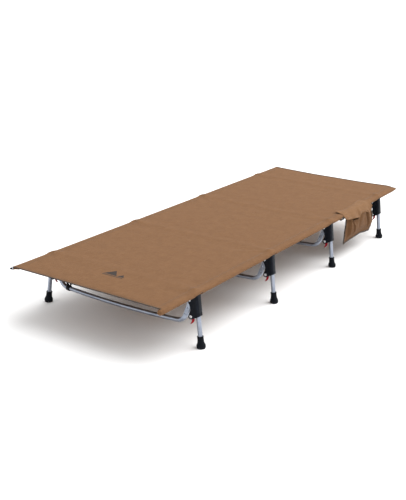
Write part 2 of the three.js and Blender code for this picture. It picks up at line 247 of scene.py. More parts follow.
# %% Starting shapes
def plate(name, outline, from_y, to_y):
    """An outline of (x, z) points, as thick as from one y to another."""
    bpy.ops.mesh.primitive_circle_add(vertices=len(outline), fill_type="NGON")
    piece = bpy.context.object
    for vertex, (x, z) in zip(piece.data.vertices, outline):
        vertex.co = (x, from_y, z)
    edit_all(piece)
    bpy.ops.mesh.extrude_region_move(TRANSFORM_OT_translate={"value": (0, to_y - from_y, 0)})
    bpy.ops.mesh.select_all(action="SELECT")
    bpy.ops.mesh.normals_make_consistent(inside=False)
    done()
    return settle(piece, name)


def turned(name, profile, sides=40, closed=False):
    """A profile of (radius, height) points turned about Z, capped at both ends unless it is closed."""
    radius, height = profile[0]
    bpy.ops.mesh.primitive_circle_add(
        vertices=sides, radius=radius, location=(0, 0, height), fill_type="NOTHING" if closed else "NGON")
    piece = settle(bpy.context.object, name)
    edit_all(piece)
    bpy.ops.mesh.select_mode(type="EDGE")
    for next_radius, next_height in profile[1:]:
        bpy.ops.mesh.extrude_region_move(TRANSFORM_OT_translate={"value": (0, 0, next_height - height)})
        bpy.ops.transform.resize(value=(next_radius / radius, next_radius / radius, 1),
                                 center_override=(0, 0, next_height))
        radius, height = next_radius, next_height
    bpy.ops.mesh.select_all(action="SELECT")
    bpy.ops.mesh.remove_doubles(threshold=1e-6)
    bpy.ops.mesh.normals_make_consistent(inside=False)
    done()
    return piece


def rod(radius, start, end, sides=32):
    """A plain cylinder from one point to another."""
    start, end = Vector(start), Vector(end)
    bpy.ops.mesh.primitive_cylinder_add(vertices=sides, radius=radius, depth=(end - start).length,
                                        location=(start + end) / 2,
                                        rotation=(end - start).to_track_quat("Z", "Y").to_euler())
    return settle(bpy.context.object, "rod")


def surface(name, rows, cloth=None):
    """A grid laid on rows of points. cloth gives each point's place on the flat cut, in metres."""
    rows = np.asarray(rows, float)
    along, across = rows.shape[:2]
    bpy.ops.mesh.primitive_grid_add(x_subdivisions=across - 1, y_subdivisions=along - 1, size=1)
    piece = bpy.context.object
    piece.data.vertices.foreach_set("co", rows.reshape(-1))
    if cloth is not None:
        corner = np.empty(len(piece.data.loops), int)
        piece.data.loops.foreach_get("vertex_index", corner)
        piece.data.uv_layers[0].name = "cloth"
        flat = np.asarray(cloth, float).reshape(-1, 2)
        piece.data.uv_layers[0].data.foreach_set("uv", flat[corner].reshape(-1))
    piece.data.update()
    return settle(piece, name)


def arc(x, z, radius, start, end, steps):
    """Points on an arc, in degrees, anticlockwise when end is above start."""
    angles = np.radians(np.linspace(start, end, steps + 1))
    return [(x + radius * math.cos(a), z + radius * math.sin(a)) for a in angles]


def swoop(start, pull, end, steps=6):
    """Points on a curve from start to end that leans towards pull, without its first point."""
    return [tuple((1 - t) ** 2 * a + 2 * t * (1 - t) * b + t * t * c for a, b, c in zip(start, pull, end))
            for t in (i / steps for i in range(1, steps + 1))]


# %% [markdown]
# A finish is a network of shader nodes. Written out one node at a time it is hard to read, so one
# small class wraps a socket and lets it stand in ordinary sums: `1 - wear * 0.5` adds the Math
# nodes by itself. A second class holds a material and has one method for every other node.

# %% Shader sums
class Signal:
    """A shader value that can be used in ordinary sums."""

    def __init__(self, tree, socket):
        self.tree, self.socket = tree, socket

    def math(self, operation, *others, flipped=False):
        node = self.tree.nodes.new("ShaderNodeMath")
        node.operation = operation
        values = (others[0], self) if flipped else (self, *others)
        for entry, value in zip(node.inputs, values):
            feed(self.tree, entry, value)
        return Signal(self.tree, node.outputs[0])

    def __add__(self, other):
        return self.math("ADD", other)

    def __sub__(self, other):
        return self.math("SUBTRACT", other)

    def __rsub__(self, other):
        return self.math("SUBTRACT", other, flipped=True)

    def __mul__(self, other):
        return self.math("MULTIPLY", other)

    __radd__, __rmul__ = __add__, __mul__

    def sin(self):
        return self.math("SINE")

    def least(self, other):
        return self.math("MINIMUM", other)


def feed(tree, entry, value):
    if isinstance(value, Signal):
        tree.links.new(value.socket, entry)
    else:
        entry.default_value = value


class Finish:
    """A material, its Principled shader and a way of adding nodes."""

    def __init__(self, name, **constants):
        self.material = bpy.data.materials.new(name)
        self.material.use_nodes = True
        self.tree = self.material.node_tree
        self.shader = self.tree.nodes["Principled BSDF"]
        for words, value in constants.items():
            self.shader.inputs[words.replace("_", " ")].default_value = value

    def add(self, kind, settings=None, inputs=None, output=0):
        node = self.tree.nodes.new("ShaderNode" + kind)
        for name, value in (settings or {}).items():
            if name == "stops":
                ramp = node.color_ramp.elements
                while len(ramp) < len(value):
                    ramp.new(0.5)
                for stop, (position, colour) in zip(ramp, value):
                    stop.position, stop.color = position, colour
            else:
                setattr(node, name, value)
        for name, value in (inputs or {}).items():
            feed(self.tree, node.inputs[name], value)
        return Signal(self.tree, node.outputs[output])

    def place(self, scale=(1, 1, 1), turn=(0, 0, 0), uv=None):
        """Object coordinates, or the cloth's own, stretched and turned."""
        source = self.add("UVMap", {"uv_map": uv}) if uv else self.add("TexCoord", output="Object")
        return self.add("Mapping", inputs={"Vector": source, "Scale": scale, "Rotation": turn})

    def noise(self, at, scale=1, detail=2, roughness=0.5):
        return self.add("TexNoise", inputs={
            "Vector": at, "Scale": scale, "Detail": detail, "Roughness": roughness})

    def between(self, value, low, high, to_low=0, to_high=1):
        """Stretches a value's range to another, smoothly and within its ends."""
        return self.add("MapRange", {"interpolation_type": "SMOOTHSTEP"},
                        {0: value, 1: low, 2: high, 3: to_low, 4: to_high})

    def tint(self, share, first, second):
        return self.add("Mix", {"data_type": "RGBA"}, {0: share, 6: first, 7: second}, output=2)

    def relief(self, height, distance, strength=1, over=None):
        inputs = {"Height": height, "Distance": distance, "Strength": strength}
        if over:
            inputs["Normal"] = over
        return self.add("Bump", inputs=inputs)

    def set(self, **signals):
        for words, signal in signals.items():
            feed(self.tree, self.shader.inputs[words.replace("_", " ")], signal)
        return self


def colour(red, green, blue):
    """A colour as one reads it off a chart, 0 to 255, made linear for the shader."""
    shares = [v / 255 for v in (red, green, blue)]
    linear = [v / 12.92 if v <= 0.0404 else ((v + 0.055) / 1.055) ** 2.4 for v in shares]
    return (*linear, 1)


def dress(piece, finish):
    """Gives a piece its finish."""
    piece.data.materials.clear()
    piece.data.materials.append(finish.material)
    return piece


# %% [markdown]
# The bed is a close, matt canvas. Three things make cloth read as cloth: the weave itself, threads
# that are uneven in thickness so that the colour is streaked along and across, and a faint
# mottling over a hand's width. The weave is a product of two sine waves on the cloth's own map,
# which is in metres, so it keeps its size where the cloth goes round a pole.

# %% Canvas
def canvas(name, light, dark, pitch=0.0009):
    finish = Finish(name, Sheen_Weight=0.02, Sheen_Roughness=0.5, Specular_IOR_Level=0.1)
    flat = finish.place(uv="cloth")
    split = finish.add("SeparateXYZ", inputs={0: flat})
    across, along = split, Signal(finish.tree, split.socket.node.outputs[1])
    step = math.pi / pitch
    weave = (across * step).sin() * (along * step).sin()
    warp = finish.noise(finish.place((900, 22, 1), uv="cloth"), detail=1)
    weft = finish.noise(finish.place((22, 900, 1), uv="cloth"), detail=1)
    threads = (warp + weft) * 0.5
    grain = finish.noise(finish.place((160, 160, 160), uv="cloth"), detail=3, roughness=0.7)
    mottle = finish.noise(finish.place((26, 26, 26), uv="cloth"), detail=3, roughness=0.6)
    shade = finish.between(threads, 0.35, 0.65) * 0.3 + grain * 0.45 + mottle * 0.35 + weave * 0.05
    finish.set(
        Base_Color=finish.tint(finish.between(shade, 0.3, 0.8), dark, light),
        Roughness=0.82 + 0.12 * threads,
        Normal=finish.relief(threads * 0.6 + weave * 0.4, 0.00022, over=finish.relief(mottle, 0.0012, 0.5)),
    )
    return finish


bed_canvas = canvas("bed_canvas", colour(118, 86, 59), colour(102, 73, 49))
# The pouch's canvas is darker than the flap's: painted shade for its walls that face sideways.
pouch_canvas_painted_shade = canvas("pouch_canvas_painted_shade", colour(108, 77, 52), colour(88, 63, 42))
flap_canvas = canvas("flap_canvas", colour(126, 94, 66), colour(109, 80, 55))


def webbing(name, light, dark, pitch=0.0016):
    """Ribbed tape: a herringbone of ribs across its length."""
    finish = Finish(name, Sheen_Weight=0.1, Specular_IOR_Level=0.3)
    flat = finish.place(uv="cloth")
    split = finish.add("SeparateXYZ", inputs={0: flat})
    across, along = split, Signal(finish.tree, split.socket.node.outputs[1])
    ribs = ((along + (across * 700).sin() * 0.0006) * (2 * math.pi / pitch)).sin()
    fuzz = finish.noise(finish.place((700, 700, 700), uv="cloth"), detail=2)
    finish.set(
        Base_Color=finish.tint(finish.between(ribs * 0.35 + fuzz, 0.2, 0.9), dark, light),
        Roughness=0.75 + 0.2 * fuzz,
        Normal=finish.relief(ribs * 0.5 + fuzz * 0.4, 0.0003),
    )
    return finish


# On the bed's short ends this tape's dark brown is painted shade for their shaded edge; on the pocket it is
# the dark binding.
dark_binding_and_painted_edge_shade = webbing("dark_binding_and_painted_edge_shade", colour(56, 41, 29), colour(38, 27, 19))
loop_tape = webbing("loop_tape", colour(30, 23, 19), colour(18, 14, 12))
print("cloth finishes made")

# %% [markdown]
# Drawn aluminium tube has fine streaks along its length from the die, a satin anodised skin, and
# small scuffs. The streaks come from a noise that is stretched along one axis, so the finish is
# made once for tubes that lie across the bed and once for those that stand.

# %% Metal
def tube_metal(name, stretch, light, dark, roughness=0.27):
    finish = Finish(name, Metallic=1)
    streaks = finish.noise(finish.place(stretch), detail=3, roughness=0.65)
    cloud = finish.noise(finish.place((30, 30, 30)), detail=2)
    scuffs = finish.between(finish.noise(finish.place((240, 240, 90)), detail=4, roughness=0.8), 0.62, 0.74)
    finish.set(
        Base_Color=finish.tint(finish.between(streaks * 0.6 + cloud * 0.4, 0.3, 0.7), dark, light),
        Roughness=roughness + 0.1 * streaks + 0.14 * scuffs + 0.05 * cloud,
        Normal=finish.relief(streaks + scuffs * 0.4, 0.00004),
    )
    return finish


STREAK, ALONG = 1800, 9
bow_metal = tube_metal("bow_metal", (ALONG, STREAK, STREAK), colour(168, 175, 188), colour(134, 142, 157))
leg_metal = tube_metal("leg_metal", (STREAK, STREAK, ALONG), colour(160, 166, 178), colour(126, 133, 147))
pole_metal = tube_metal(
    "pole_metal", (STREAK, ALONG, STREAK), colour(170, 173, 180), colour(146, 150, 158), 0.32)


def rivet_metal():
    """Pressed steel: brighter on the rubbed crown, with fine specks and a little dirt at the rim."""
    finish = Finish("rivet_metal", Metallic=1)
    speck = finish.noise(finish.place((900, 900, 900)), detail=3, roughness=0.7)
    worn = finish.between(finish.add("NewGeometry", output="Pointiness"), 0.47, 0.56)
    finish.set(
        Base_Color=finish.tint(worn, colour(150, 152, 156), colour(222, 223, 226)),
        Roughness=0.36 - 0.14 * worn + 0.1 * speck,
        Normal=finish.relief(speck, 0.00005),
    )
    return finish


rivet_steel = rivet_metal()

# %% [markdown]
# The grips and caps are moulded from a black plastic with a blue cast. The mould's fine spark
# texture gives it its satin look, and the raised edges are rubbed a little lighter and smoother.
# Rubber is duller, has no texture but small pits, and picks up dust where it meets the ground.

# %% Plastics and rubber
def moulded(name, body, worn_colour, roughness, grain_depth=0.00009):
    finish = Finish(name, Specular_IOR_Level=0.1)
    spark = finish.noise(finish.place((1500, 1500, 1500)), detail=2, roughness=0.6)
    flow = finish.noise(finish.place((60, 60, 24)), detail=2)
    edge = finish.between(finish.add("NewGeometry", output="Pointiness"), 0.51, 0.6)
    rubbed = edge * finish.between(finish.noise(finish.place((120, 120, 120)), detail=3), 0.4, 0.7)
    finish.set(
        Base_Color=finish.tint((rubbed * 0.6 + flow * 0.25).least(1), body, worn_colour),
        Roughness=roughness + 0.12 * spark - 0.1 * rubbed + 0.06 * flow,
        Normal=finish.relief(spark, grain_depth),
    )
    return finish


grip_plastic = moulded("grip_plastic", colour(8, 11, 17), colour(30, 37, 50), 0.34)
cap_plastic = moulded("cap_plastic", colour(12, 14, 18), colour(40, 45, 54), 0.42)
tab_plastic = moulded("tab_plastic", colour(134, 14, 27), colour(180, 46, 58), 0.36)


def boot_rubber_finish():
    finish = Finish("boot_rubber", Specular_IOR_Level=0.08)
    pits = finish.noise(finish.place((700, 700, 700)), detail=4, roughness=0.75)
    cloud = finish.noise(finish.place((70, 70, 70)), detail=3)
    split = finish.add("SeparateXYZ", inputs={0: finish.add("TexCoord", output="Object")})
    height = Signal(finish.tree, split.socket.node.outputs[2])
    dust = finish.between(height, 0.012, 0.0005) * finish.between(cloud, 0.35, 0.65)
    finish.set(
        Base_Color=finish.tint((dust * 0.35 + pits * 0.1).least(1), colour(9, 12, 19), colour(52, 52, 55)),
        Roughness=0.5 + 0.2 * pits + 0.2 * dust,
        Normal=finish.relief(pits, 0.00012),
    )
    return finish


boot_rubber = boot_rubber_finish()


def thread_finish(name, light, dark):
    """Twisted sewing thread: slanting ribs along each stitch."""
    finish = Finish(name, Sheen_Weight=0.2)
    twist = finish.add("TexWave", {"bands_direction": "DIAGONAL"},
                       {"Vector": finish.place((1, 1, 1)), "Scale": 900.0, "Distortion": 0.6})
    finish.set(Base_Color=finish.tint(twist * 0.8, dark, light), Roughness=0.5 + 0.2 * twist,
               Normal=finish.relief(twist, 0.00008))
    return finish


tan_thread = thread_finish("tan_thread", colour(112, 86, 63), colour(84, 63, 45))


def print_ink():
    """Screen-printed ink: it sinks into the weave, so the cloth's threads wear through it."""
    finish = Finish("print_ink", Specular_IOR_Level=0.3)
    worn = finish.noise(finish.place((500, 500, 500)), detail=3, roughness=0.7)
    bare = finish.between(worn, 0.5, 0.75)
    finish.set(Base_Color=finish.tint(bare, colour(34, 26, 22), colour(80, 60, 44)),
               Roughness=0.6 + 0.25 * worn, Normal=finish.relief(worn, 0.0001))
    return finish


mark_ink = print_ink()
print("finishes made:", len(bpy.data.materials))


# %% [markdown]
# The grip is the piece that one holds when setting the cot up. Seen from its end it is a tall
# outline: a cup with a low outer lip that hooks under the pole, a boss for the pivot rivet, a
# waist and a round lobe for the latch's rivet. It could be sculpted, but a moulding like this is
# designed as an outline and cuts, so it is modelled the same way: a plate, rounded on its
# outboard side by an envelope, then a slot for the arm, a socket for the leg and a pocket for the
# latch. A shallow panel on either cheek and a groove round the foot of the column keep the big
# black faces from looking like a block.

# %% The lever's grip
GRIP_HALF = 0.014
CUP = POLE_RADIUS + 0.0003
GRIP_OUT = 0.011
TUBE_RADIUS = (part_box("cross_tube_1")[1].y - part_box("cross_tube_1")[0].y) / 2
WAIST = PIVOT.x + 0.001
reach_to_pivot = PIVOT.length
toward_pivot = math.degrees(math.atan2(-PIVOT.z, -PIVOT.x))

grip_outline = (
    [(GRIP_OUT, -0.077), (GRIP_OUT, 0.0018)]
    + arc(GRIP_OUT - 0.0013, 0.0018, 0.0013, 8, 150, 6)
    + arc(0, 0, CUP, 19, toward_pivot - 180, 22)
    + arc(PIVOT.x, PIVOT.z, reach_to_pivot - CUP, toward_pivot, toward_pivot + 24, 5)
    + arc(PIVOT.x, PIVOT.z, 0.0095, 88, 190, 12)
    + swoop((PIVOT.x - 0.0094, -0.0226), (WAIST, -0.040), (WAIST, -0.050))
    + swoop((WAIST, -0.050), (WAIST, -0.060), (PIVOT.x - 0.0098, -0.0775))
    + arc(LATCH_PIN.x, LATCH_PIN.z, 0.010, 172, 284, 14)
)
grip = plate("grip", grip_outline, -GRIP_HALF, GRIP_HALF)

bpy.ops.mesh.primitive_cube_add(size=1, location=(-0.089, 0, -0.05), scale=(0.2, 2 * GRIP_HALF, 0.3))
envelope = settle(bpy.context.object, "envelope")
edit_where(envelope, "EDGE", lambda at, along: at.x > 0 and abs(along.z) > 0.1)
bpy.ops.mesh.bevel(offset=0.008, segments=8, affect="EDGES")
done()
cut(grip, envelope, operation="INTERSECT")

arm_side = PIVOT.x + 0.0095  # the slot's end beside the arm
leg_side = -0.0113  # and beside the leg's socket
slot_outline = [(-0.2, 0.1), (arm_side, 0.1), (arm_side, PIVOT.z),
                (leg_side, PIVOT.z - 2 * abs(arm_side - leg_side)), (leg_side, -0.2), (-0.2, -0.2)]
socket = rod(0.0083, (0, 0, -0.0237), (0, 0, -0.2), 40)
pin_hole = rod(0.0033, (PIVOT.x, -0.05, PIVOT.z), (PIVOT.x, 0.05, PIVOT.z))
x, z = LATCH_PIN.x, LATCH_PIN.z
latch_room = plate("room", [(x - 0.0065, z - 0.0045), (x - 0.002, z - 0.0065), (x - 0.002, z - 0.04),
                            (x + 0.017, z - 0.04), (x + 0.017, z - 0.001), (x + 0.008, z + 0.0065),
                            (x - 0.0065, z + 0.0065)], -0.01252, -0.00838)
cut(grip, plate("slot", slot_outline, -0.005, 0.005), socket, pin_hole, latch_room)


# %% The grip's panels, column groove and softened edges
def cheek_panel(from_y, to_y):
    outline = (arc(-0.0165, -0.036, 0.0020, 90, 180, 4) + arc(-0.0165, -0.064, 0.0020, 180, 270, 4)
               + arc(-0.0085, -0.064, 0.0020, 270, 360, 4) + arc(-0.0085, -0.036, 0.0020, 0, 90, 4))
    return plate("panel", outline, from_y, to_y)


cut(grip, cheek_panel(-0.02, -0.0132), cheek_panel(0.0132, 0.02))
for height in (-0.0705, -0.0665):
    groove = plate("groove", [(0.0103, height - 0.0006), (0.02, height - 0.0006), (0.02, height + 0.0006),
                              (0.0103, height + 0.0006)], -0.02, 0.02)
    cut(grip, groove)
soften(grip, 0.0006, segments=2, angle=38)
report(grip)

# %% [markdown]
# Rivets are turned: a domed head with a pressed dimple on each face. The upper one goes right
# through the grip and the arm. The lower one is a short stub in one cheek, because the arm sweeps
# past it as the lever folds. The opposite cheek has only a moulded boss there.

# %% Rivets
def rivet_head(base, thick, radius=0.0054):
    return [(radius, base), (radius, base + thick * 0.3), (radius * 0.93, base + thick * 0.62),
            (radius * 0.78, base + thick * 0.86), (radius * 0.55, base + thick),
            (radius * 0.36, base + thick), (radius * 0.26, base + thick * 0.55),
            (radius * 0.02, base + thick * 0.5)]


under_head = GRIP_HALF + 0.0003
head = rivet_head(under_head, 0.0016)
far_head = [(r, -h) for r, h in reversed(head)]
along_y = Matrix.Rotation(math.radians(90), 4, "X")  # its top end points to -Y
shank = [(0.003, -under_head), (0.003, under_head)]
pivot_rivet = turned("pivot_rivet", far_head + shank + head)
pivot_rivet.data.transform(Matrix.Translation(PIVOT) @ along_y)
latch_rivet = turned("latch_rivet", [(0.002, 0.0083), (0.002, 0.0143)] + head, sides=32)
latch_rivet.data.transform(Matrix.Translation(LATCH_PIN) @ along_y)
blank_boss = turned("blank_boss", [(0.0052, -0.0135), (0.0052, -0.0147), (0.0046, -0.0153), (0.0028, -0.0153),
                                   (0.0022, -0.0148)], sides=32)
blank_boss.data.transform(Matrix.Translation(LATCH_PIN) @ along_y)
for piece in (pivot_rivet, latch_rivet, blank_boss):
    face_outward(piece)
    smooth(piece, 38)
    report(piece)
pick(blank_boss, grip)
bpy.ops.object.join()

# %% [markdown]
# The red tab that frees the lever is a flat moulding with a round boss on the lower rivet and a
# curved thumb piece below the lobe. It is the one bright thing on the cot, so its edge gets a
# proper round and its face a few grip lines.

# %% The latch's tab
tab_outline = (
    [(x + 0.005, z)] + swoop((x + 0.005, z), (x + 0.012, z - 0.002), (x + 0.012, z - 0.009), 8)
    + swoop((x + 0.012, z - 0.009), (x + 0.010, z - 0.021), (x - 0.003, z - 0.027), 10)
    + arc(x - 0.004, z - 0.0262, 0.0012, 300, 150, 5)
    + swoop((x - 0.005, z - 0.025), (x + 0.003, z - 0.018), (x + 0.002, z - 0.009), 8)
    + [(x - 0.001, z - 0.005)] + arc(x, z, 0.005, 255, 15, 16)
)
tab = plate("tab", tab_outline, -0.0122, -0.0087)
cut(tab, rod(0.0023, (x, -0.02, z), (x, 0, z)))
for step in range(3):
    low = z - 0.0125 - step * 0.0034
    cut(tab, rod(0.0005, (x - 0.004, -0.01225, low + 0.002), (x + 0.014, -0.01225, low), 10))
soften(tab, 0.0007, segments=3, angle=40)
report(tab)

# %% [markdown]
# The leg is a straight tube with a real wall, so it is turned as a closed profile with eased rims.
# The boot is turned too: a straight collar with a rolled rim, two rings for the fingers, a concave
# flare and a round bulb. It leans with the leg, so it is sliced level with the ground at the end.

# %% Leg tube
LEG_RADIUS, LEG_WALL = 0.008, 0.0013
top, bottom = -0.024, -LEG_LENGTH + 0.008
leg = turned("leg", [
    (LEG_RADIUS - LEG_WALL, bottom), (LEG_RADIUS - 0.0003, bottom), (LEG_RADIUS, bottom + 0.0003),
    (LEG_RADIUS, top - 0.0003), (LEG_RADIUS - 0.0003, top), (LEG_RADIUS - LEG_WALL, top),
    (LEG_RADIUS - LEG_WALL, bottom),
], sides=48, closed=True)
smooth(leg, 30)
report(leg)

# %% Rubber boot
sole = -LEG_LENGTH
bulb = [(0.0128, -0.0023), (0.0146, 0.0006), (0.0156, 0.0032), (0.0159, 0.0065), (0.0158, 0.0095)]
flare = [(0.0152, 0.0122), (0.0141, 0.0146), (0.0129, 0.0170), (0.0120, 0.0196), (0.01145, 0.0225),
         (0.0111, 0.0258), (0.01095, 0.0285)]
collar = [(0.0109, 0.0305), (0.0105, 0.0310), (0.0105, 0.0318), (0.0109, 0.0323), (0.0109, 0.0342),
          (0.0105, 0.0347), (0.0105, 0.0355), (0.0109, 0.0360), (0.0110, 0.0392), (0.0114, 0.0399),
          (0.0114, 0.0412), (0.0109, 0.0420), (0.0090, 0.0420), (0.0083, 0.0413), (0.0083, 0.0077)]
boot_profile = [(0.002, -0.0023)] + bulb + flare + collar + [(0.002, 0.0077)]
boot = turned("boot", [(r, sole + h) for r, h in boot_profile], sides=44)
edit_all(boot)
lean_up = Vector((math.sin(LEAN_OUT), 0, math.cos(LEAN_OUT)))
bpy.ops.mesh.bisect(plane_co=(0, 0, sole), plane_no=lean_up, clear_inner=True, use_fill=True)
bpy.ops.mesh.select_all(action="SELECT")
bpy.ops.mesh.normals_make_consistent(inside=False)
done()
smooth(boot, 32)
report(boot)

# %% [markdown]
# One lever is now complete. The same lever serves both ends of every cross tube, turned half
# round for the left, so each piece is copied to its eight places and rides on that lever's body.
# The tab turns on its own pin, so it rides on the body of the release.

# %% Eight levers
LEVER_PIECES = (
    (grip, "grip", "hub", "lever", grip_plastic, "plastic"),
    (pivot_rivet, "pivot_rivet", "pivot_pin", "lever", rivet_steel, "steel"),
    (latch_rivet, "latch_rivet", None, "lever", rivet_steel, "steel"),
    (leg, "leg", "leg_tube", "lever", leg_metal, "aluminium"),
    (boot, "boot", "foot", "lever", boot_rubber, "rubber"),
    (tab, "tab", "latch", "release", tab_plastic, "latch_red"),
)
for number in LEG_SETS:
    for side in SIDES:
        for master, name, node, body, finish, slot in LEVER_PIECES:
            piece = copy_to(master, f"{name}_{number}_{side}", lever_place(number, side))
            dress(piece, finish)
            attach(piece, f"{body}_{number}_{side}")
            if node:
                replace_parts(piece, f"{node}_{number}_{side}")
for master, *_ in LEVER_PIECES:
    bpy.data.objects.remove(master)
print("levers copied:", len(LEG_SETS) * len(SIDES))


# %% [markdown]
# A cross tube is one length of round tube: a shallow bow, a bend at either end, and a straight arm
# that is pressed flat where it passes through the grip. A curve with a round bevel could give the
# tube but not the pressing, so rings are laid along the centre line and each ring's shape goes
# from round to flat. The arm's end is cut round about the pivot.

# %% The cross tube's centre line
ARM_ANGLE, ARM_LENGTH, BEND = math.radians(71), 0.065, 0.040
SLOPE = math.radians(3.5)
pivot_x = middle("pivot_pin_1_right").x
pivot_z = middle("pivot_pin_1_right").z
arm_foot = (pivot_x - ARM_LENGTH * math.cos(ARM_ANGLE), pivot_z - ARM_LENGTH * math.sin(ARM_ANGLE))
bow_end = (arm_foot[0] - BEND * (math.sin(ARM_ANGLE) - math.sin(SLOPE)),
           arm_foot[1] - BEND * (math.cos(SLOPE) - math.cos(ARM_ANGLE)))
BOW_RADIUS = bow_end[0] / math.sin(SLOPE)
bow_length = BOW_RADIUS * SLOPE
bend_length = BEND * (ARM_ANGLE - SLOPE)
to_pivot = bow_length + bend_length + ARM_LENGTH


def centre_line(distance):
    """Place (x, z) and direction at a distance from the tube's middle."""
    if distance < bow_length:
        angle = distance / BOW_RADIUS
        z = bow_end[1] + BOW_RADIUS * (math.cos(SLOPE) - math.cos(angle))
        return BOW_RADIUS * math.sin(angle), z, angle
    angle = SLOPE + min(distance - bow_length, bend_length) / BEND
    straight = max(distance - bow_length - bend_length, 0)
    return (bow_end[0] + BEND * (math.sin(angle) - math.sin(SLOPE)) + straight * math.cos(angle),
            bow_end[1] + BEND * (math.cos(SLOPE) - math.cos(angle)) + straight * math.sin(angle), angle)


# %% Rings along it
ARM_HALF_WIDTH, ARM_HALF_THICK = 0.0085, 0.0045
press_start = bow_length + bend_length - 0.016
press_end = bow_length + bend_length - 0.002
steps = (list(np.linspace(0, bow_length, 16)[:-1]) + list(np.linspace(bow_length, press_start, 11)[:-1])
         + list(np.linspace(press_start, press_end, 9)[:-1]) + list(np.linspace(press_end, to_pivot, 10)[:-1])
         + [to_pivot + ARM_HALF_WIDTH * math.sin(t) for t in np.radians((0, 20, 38, 54, 67, 77, 84))])


def tube_ring(distance, mirror, sides=36):
    x, z, angle = centre_line(abs(distance))
    pressed = min(max((abs(distance) - press_start) / (press_end - press_start), 0), 1)
    pressed = pressed * pressed * (3 - 2 * pressed)
    past = max(abs(distance) - to_pivot, 0) / ARM_HALF_WIDTH
    rounded = math.sqrt(max(1 - past * past, 0.002))
    half_width = (TUBE_RADIUS + (ARM_HALF_WIDTH - TUBE_RADIUS) * pressed) * rounded
    half_thick = TUBE_RADIUS + (ARM_HALF_THICK - TUBE_RADIUS) * pressed
    power = 1 - 0.72 * pressed  # 1 is an ellipse, smaller is flatter with tighter corners
    ring = []
    for k in range(sides + 1):
        a = 2 * math.pi * k / sides
        across = math.copysign(abs(math.cos(a)) ** power, math.cos(a)) * half_width
        thick = math.copysign(abs(math.sin(a)) ** power, math.sin(a)) * half_thick
        ring.append((mirror * (x + across * math.sin(angle)), thick, z - across * math.cos(angle)))
    return ring


rings = [tube_ring(d, -1) for d in reversed(steps[1:])] + [tube_ring(d, 1) for d in steps]
bow = surface("bow", rings)
edit_all(bow)
bpy.ops.mesh.remove_doubles(threshold=1e-6)
bpy.ops.mesh.fill_holes(sides=64)
bpy.ops.mesh.select_all(action="SELECT")
bpy.ops.mesh.normals_make_consistent(inside=False)
done()
for mirror in (-1, 1):
    cut(bow, rod(0.0033, (mirror * pivot_x, -0.02, pivot_z), (mirror * pivot_x, 0.02, pivot_z)))
    for from_pivot in (0.035, 0.060):
        hole_x, hole_z, _ = centre_line(to_pivot - from_pivot)
        cut(bow, rod(0.003, (mirror * hole_x, -0.02, hole_z), (mirror * hole_x, 0.02, hole_z), 24))
smooth(bow, 34)
report(bow)

# %% [markdown]
# Near its left bend every bow carries a black keeper, a sleeve with a spring jaw that holds the
# folded leg when the cot is packed. It is a turned collar with a jaw plate on top.

# %% Keeper
keeper_x, keeper_z, keeper_angle = centre_line(bow_length - 0.004)
keeper = turned("keeper", [(0.0081, -0.0075), (0.0096, -0.0075), (0.0104, -0.0067), (0.0104, 0.0067),
                           (0.0096, 0.0075), (0.0081, 0.0075), (0.0081, -0.0075)], sides=40, closed=True)
keeper.data.transform(Matrix.Rotation(math.radians(90), 4, "Y"))
jaw = []
for turn in (1, -1):
    outer = arc(0, 0.0175, 0.0093, 250, 140, 12)
    inner = arc(0, 0.0175, 0.0075, 140, 250, 12)
    prong = plate("prong", [(turn * px, pz) for px, pz in outer + inner], -0.005, 0.005)
    jaw.append(prong)
pick(*jaw, keeper)
bpy.ops.object.join()
soften(keeper, 0.0004, segments=2, angle=45)
keeper.data.transform(Matrix.Translation((-keeper_x, 0, keeper_z)) @ Matrix.Rotation(keeper_angle, 4, "Y")
                      @ Matrix.Rotation(math.pi, 4, "Z"))
report(keeper)

# %% Four leg sets
for number in LEG_SETS:
    at = Matrix.Translation((0, SET_Y[number - 1], 0))
    piece = dress(copy_to(bow, f"bow_{number}", at), bow_metal)
    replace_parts(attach(piece, "root"), f"cross_tube_{number}")
    piece = dress(copy_to(keeper, f"keeper_{number}", at), cap_plastic)
    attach(piece, "root")
bpy.data.objects.remove(bow)
bpy.data.objects.remove(keeper)
print("bows and keepers placed")

# %% [markdown]
# Each side pole is four tubes plugged end to end on swaged ferrules, with a plastic tip at either
# end. The sleeve hides most of it, but it shows at every grip and at the ends, so each section is
# turned with its wall, its eased rims and the rolled groove that locks the ferrule.

# %% [markdown]
# At two opposite corners, left at the head and right at the foot, the pole's end is drawn down to
# a narrow tip and the sleeve follows it. One rule moves the points of all pieces there alike, so
# they stay one inside the other.

# %% Rule for the drawn-down corners
SLEEVE_RADIUS = BED_TOP - POLE_Z
TAPER_LENGTH, TAPER_SHARE = 0.038, 0.42


def draw_down(points):
    """Narrows what lies round a pole near the two corners, towards one line beside its axis."""
    points = np.array(points, float)
    x, y, z = points[..., 0], points[..., 1], points[..., 2]
    near = np.clip((np.abs(y) - (BED_END - TAPER_LENGTH)) / TAPER_LENGTH, 0, 1.1) * (x * y > 0)
    beside_pole = np.clip((np.abs(x) - POLE_X + 0.032) / 0.02, 0, 1)
    near = near * near * (3 - 2 * np.clip(near, 0, 1)) * TAPER_SHARE * beside_pole
    tip_x = np.sign(x) * (POLE_X + 0.7 * SLEEVE_RADIUS)
    tip_z = np.where(x > 0, POLE_Z - 0.2 * SLEEVE_RADIUS, BED_TOP)
    points[..., 0] = x + (tip_x - x) * near
    points[..., 2] = z + (tip_z - z) * near
    return points


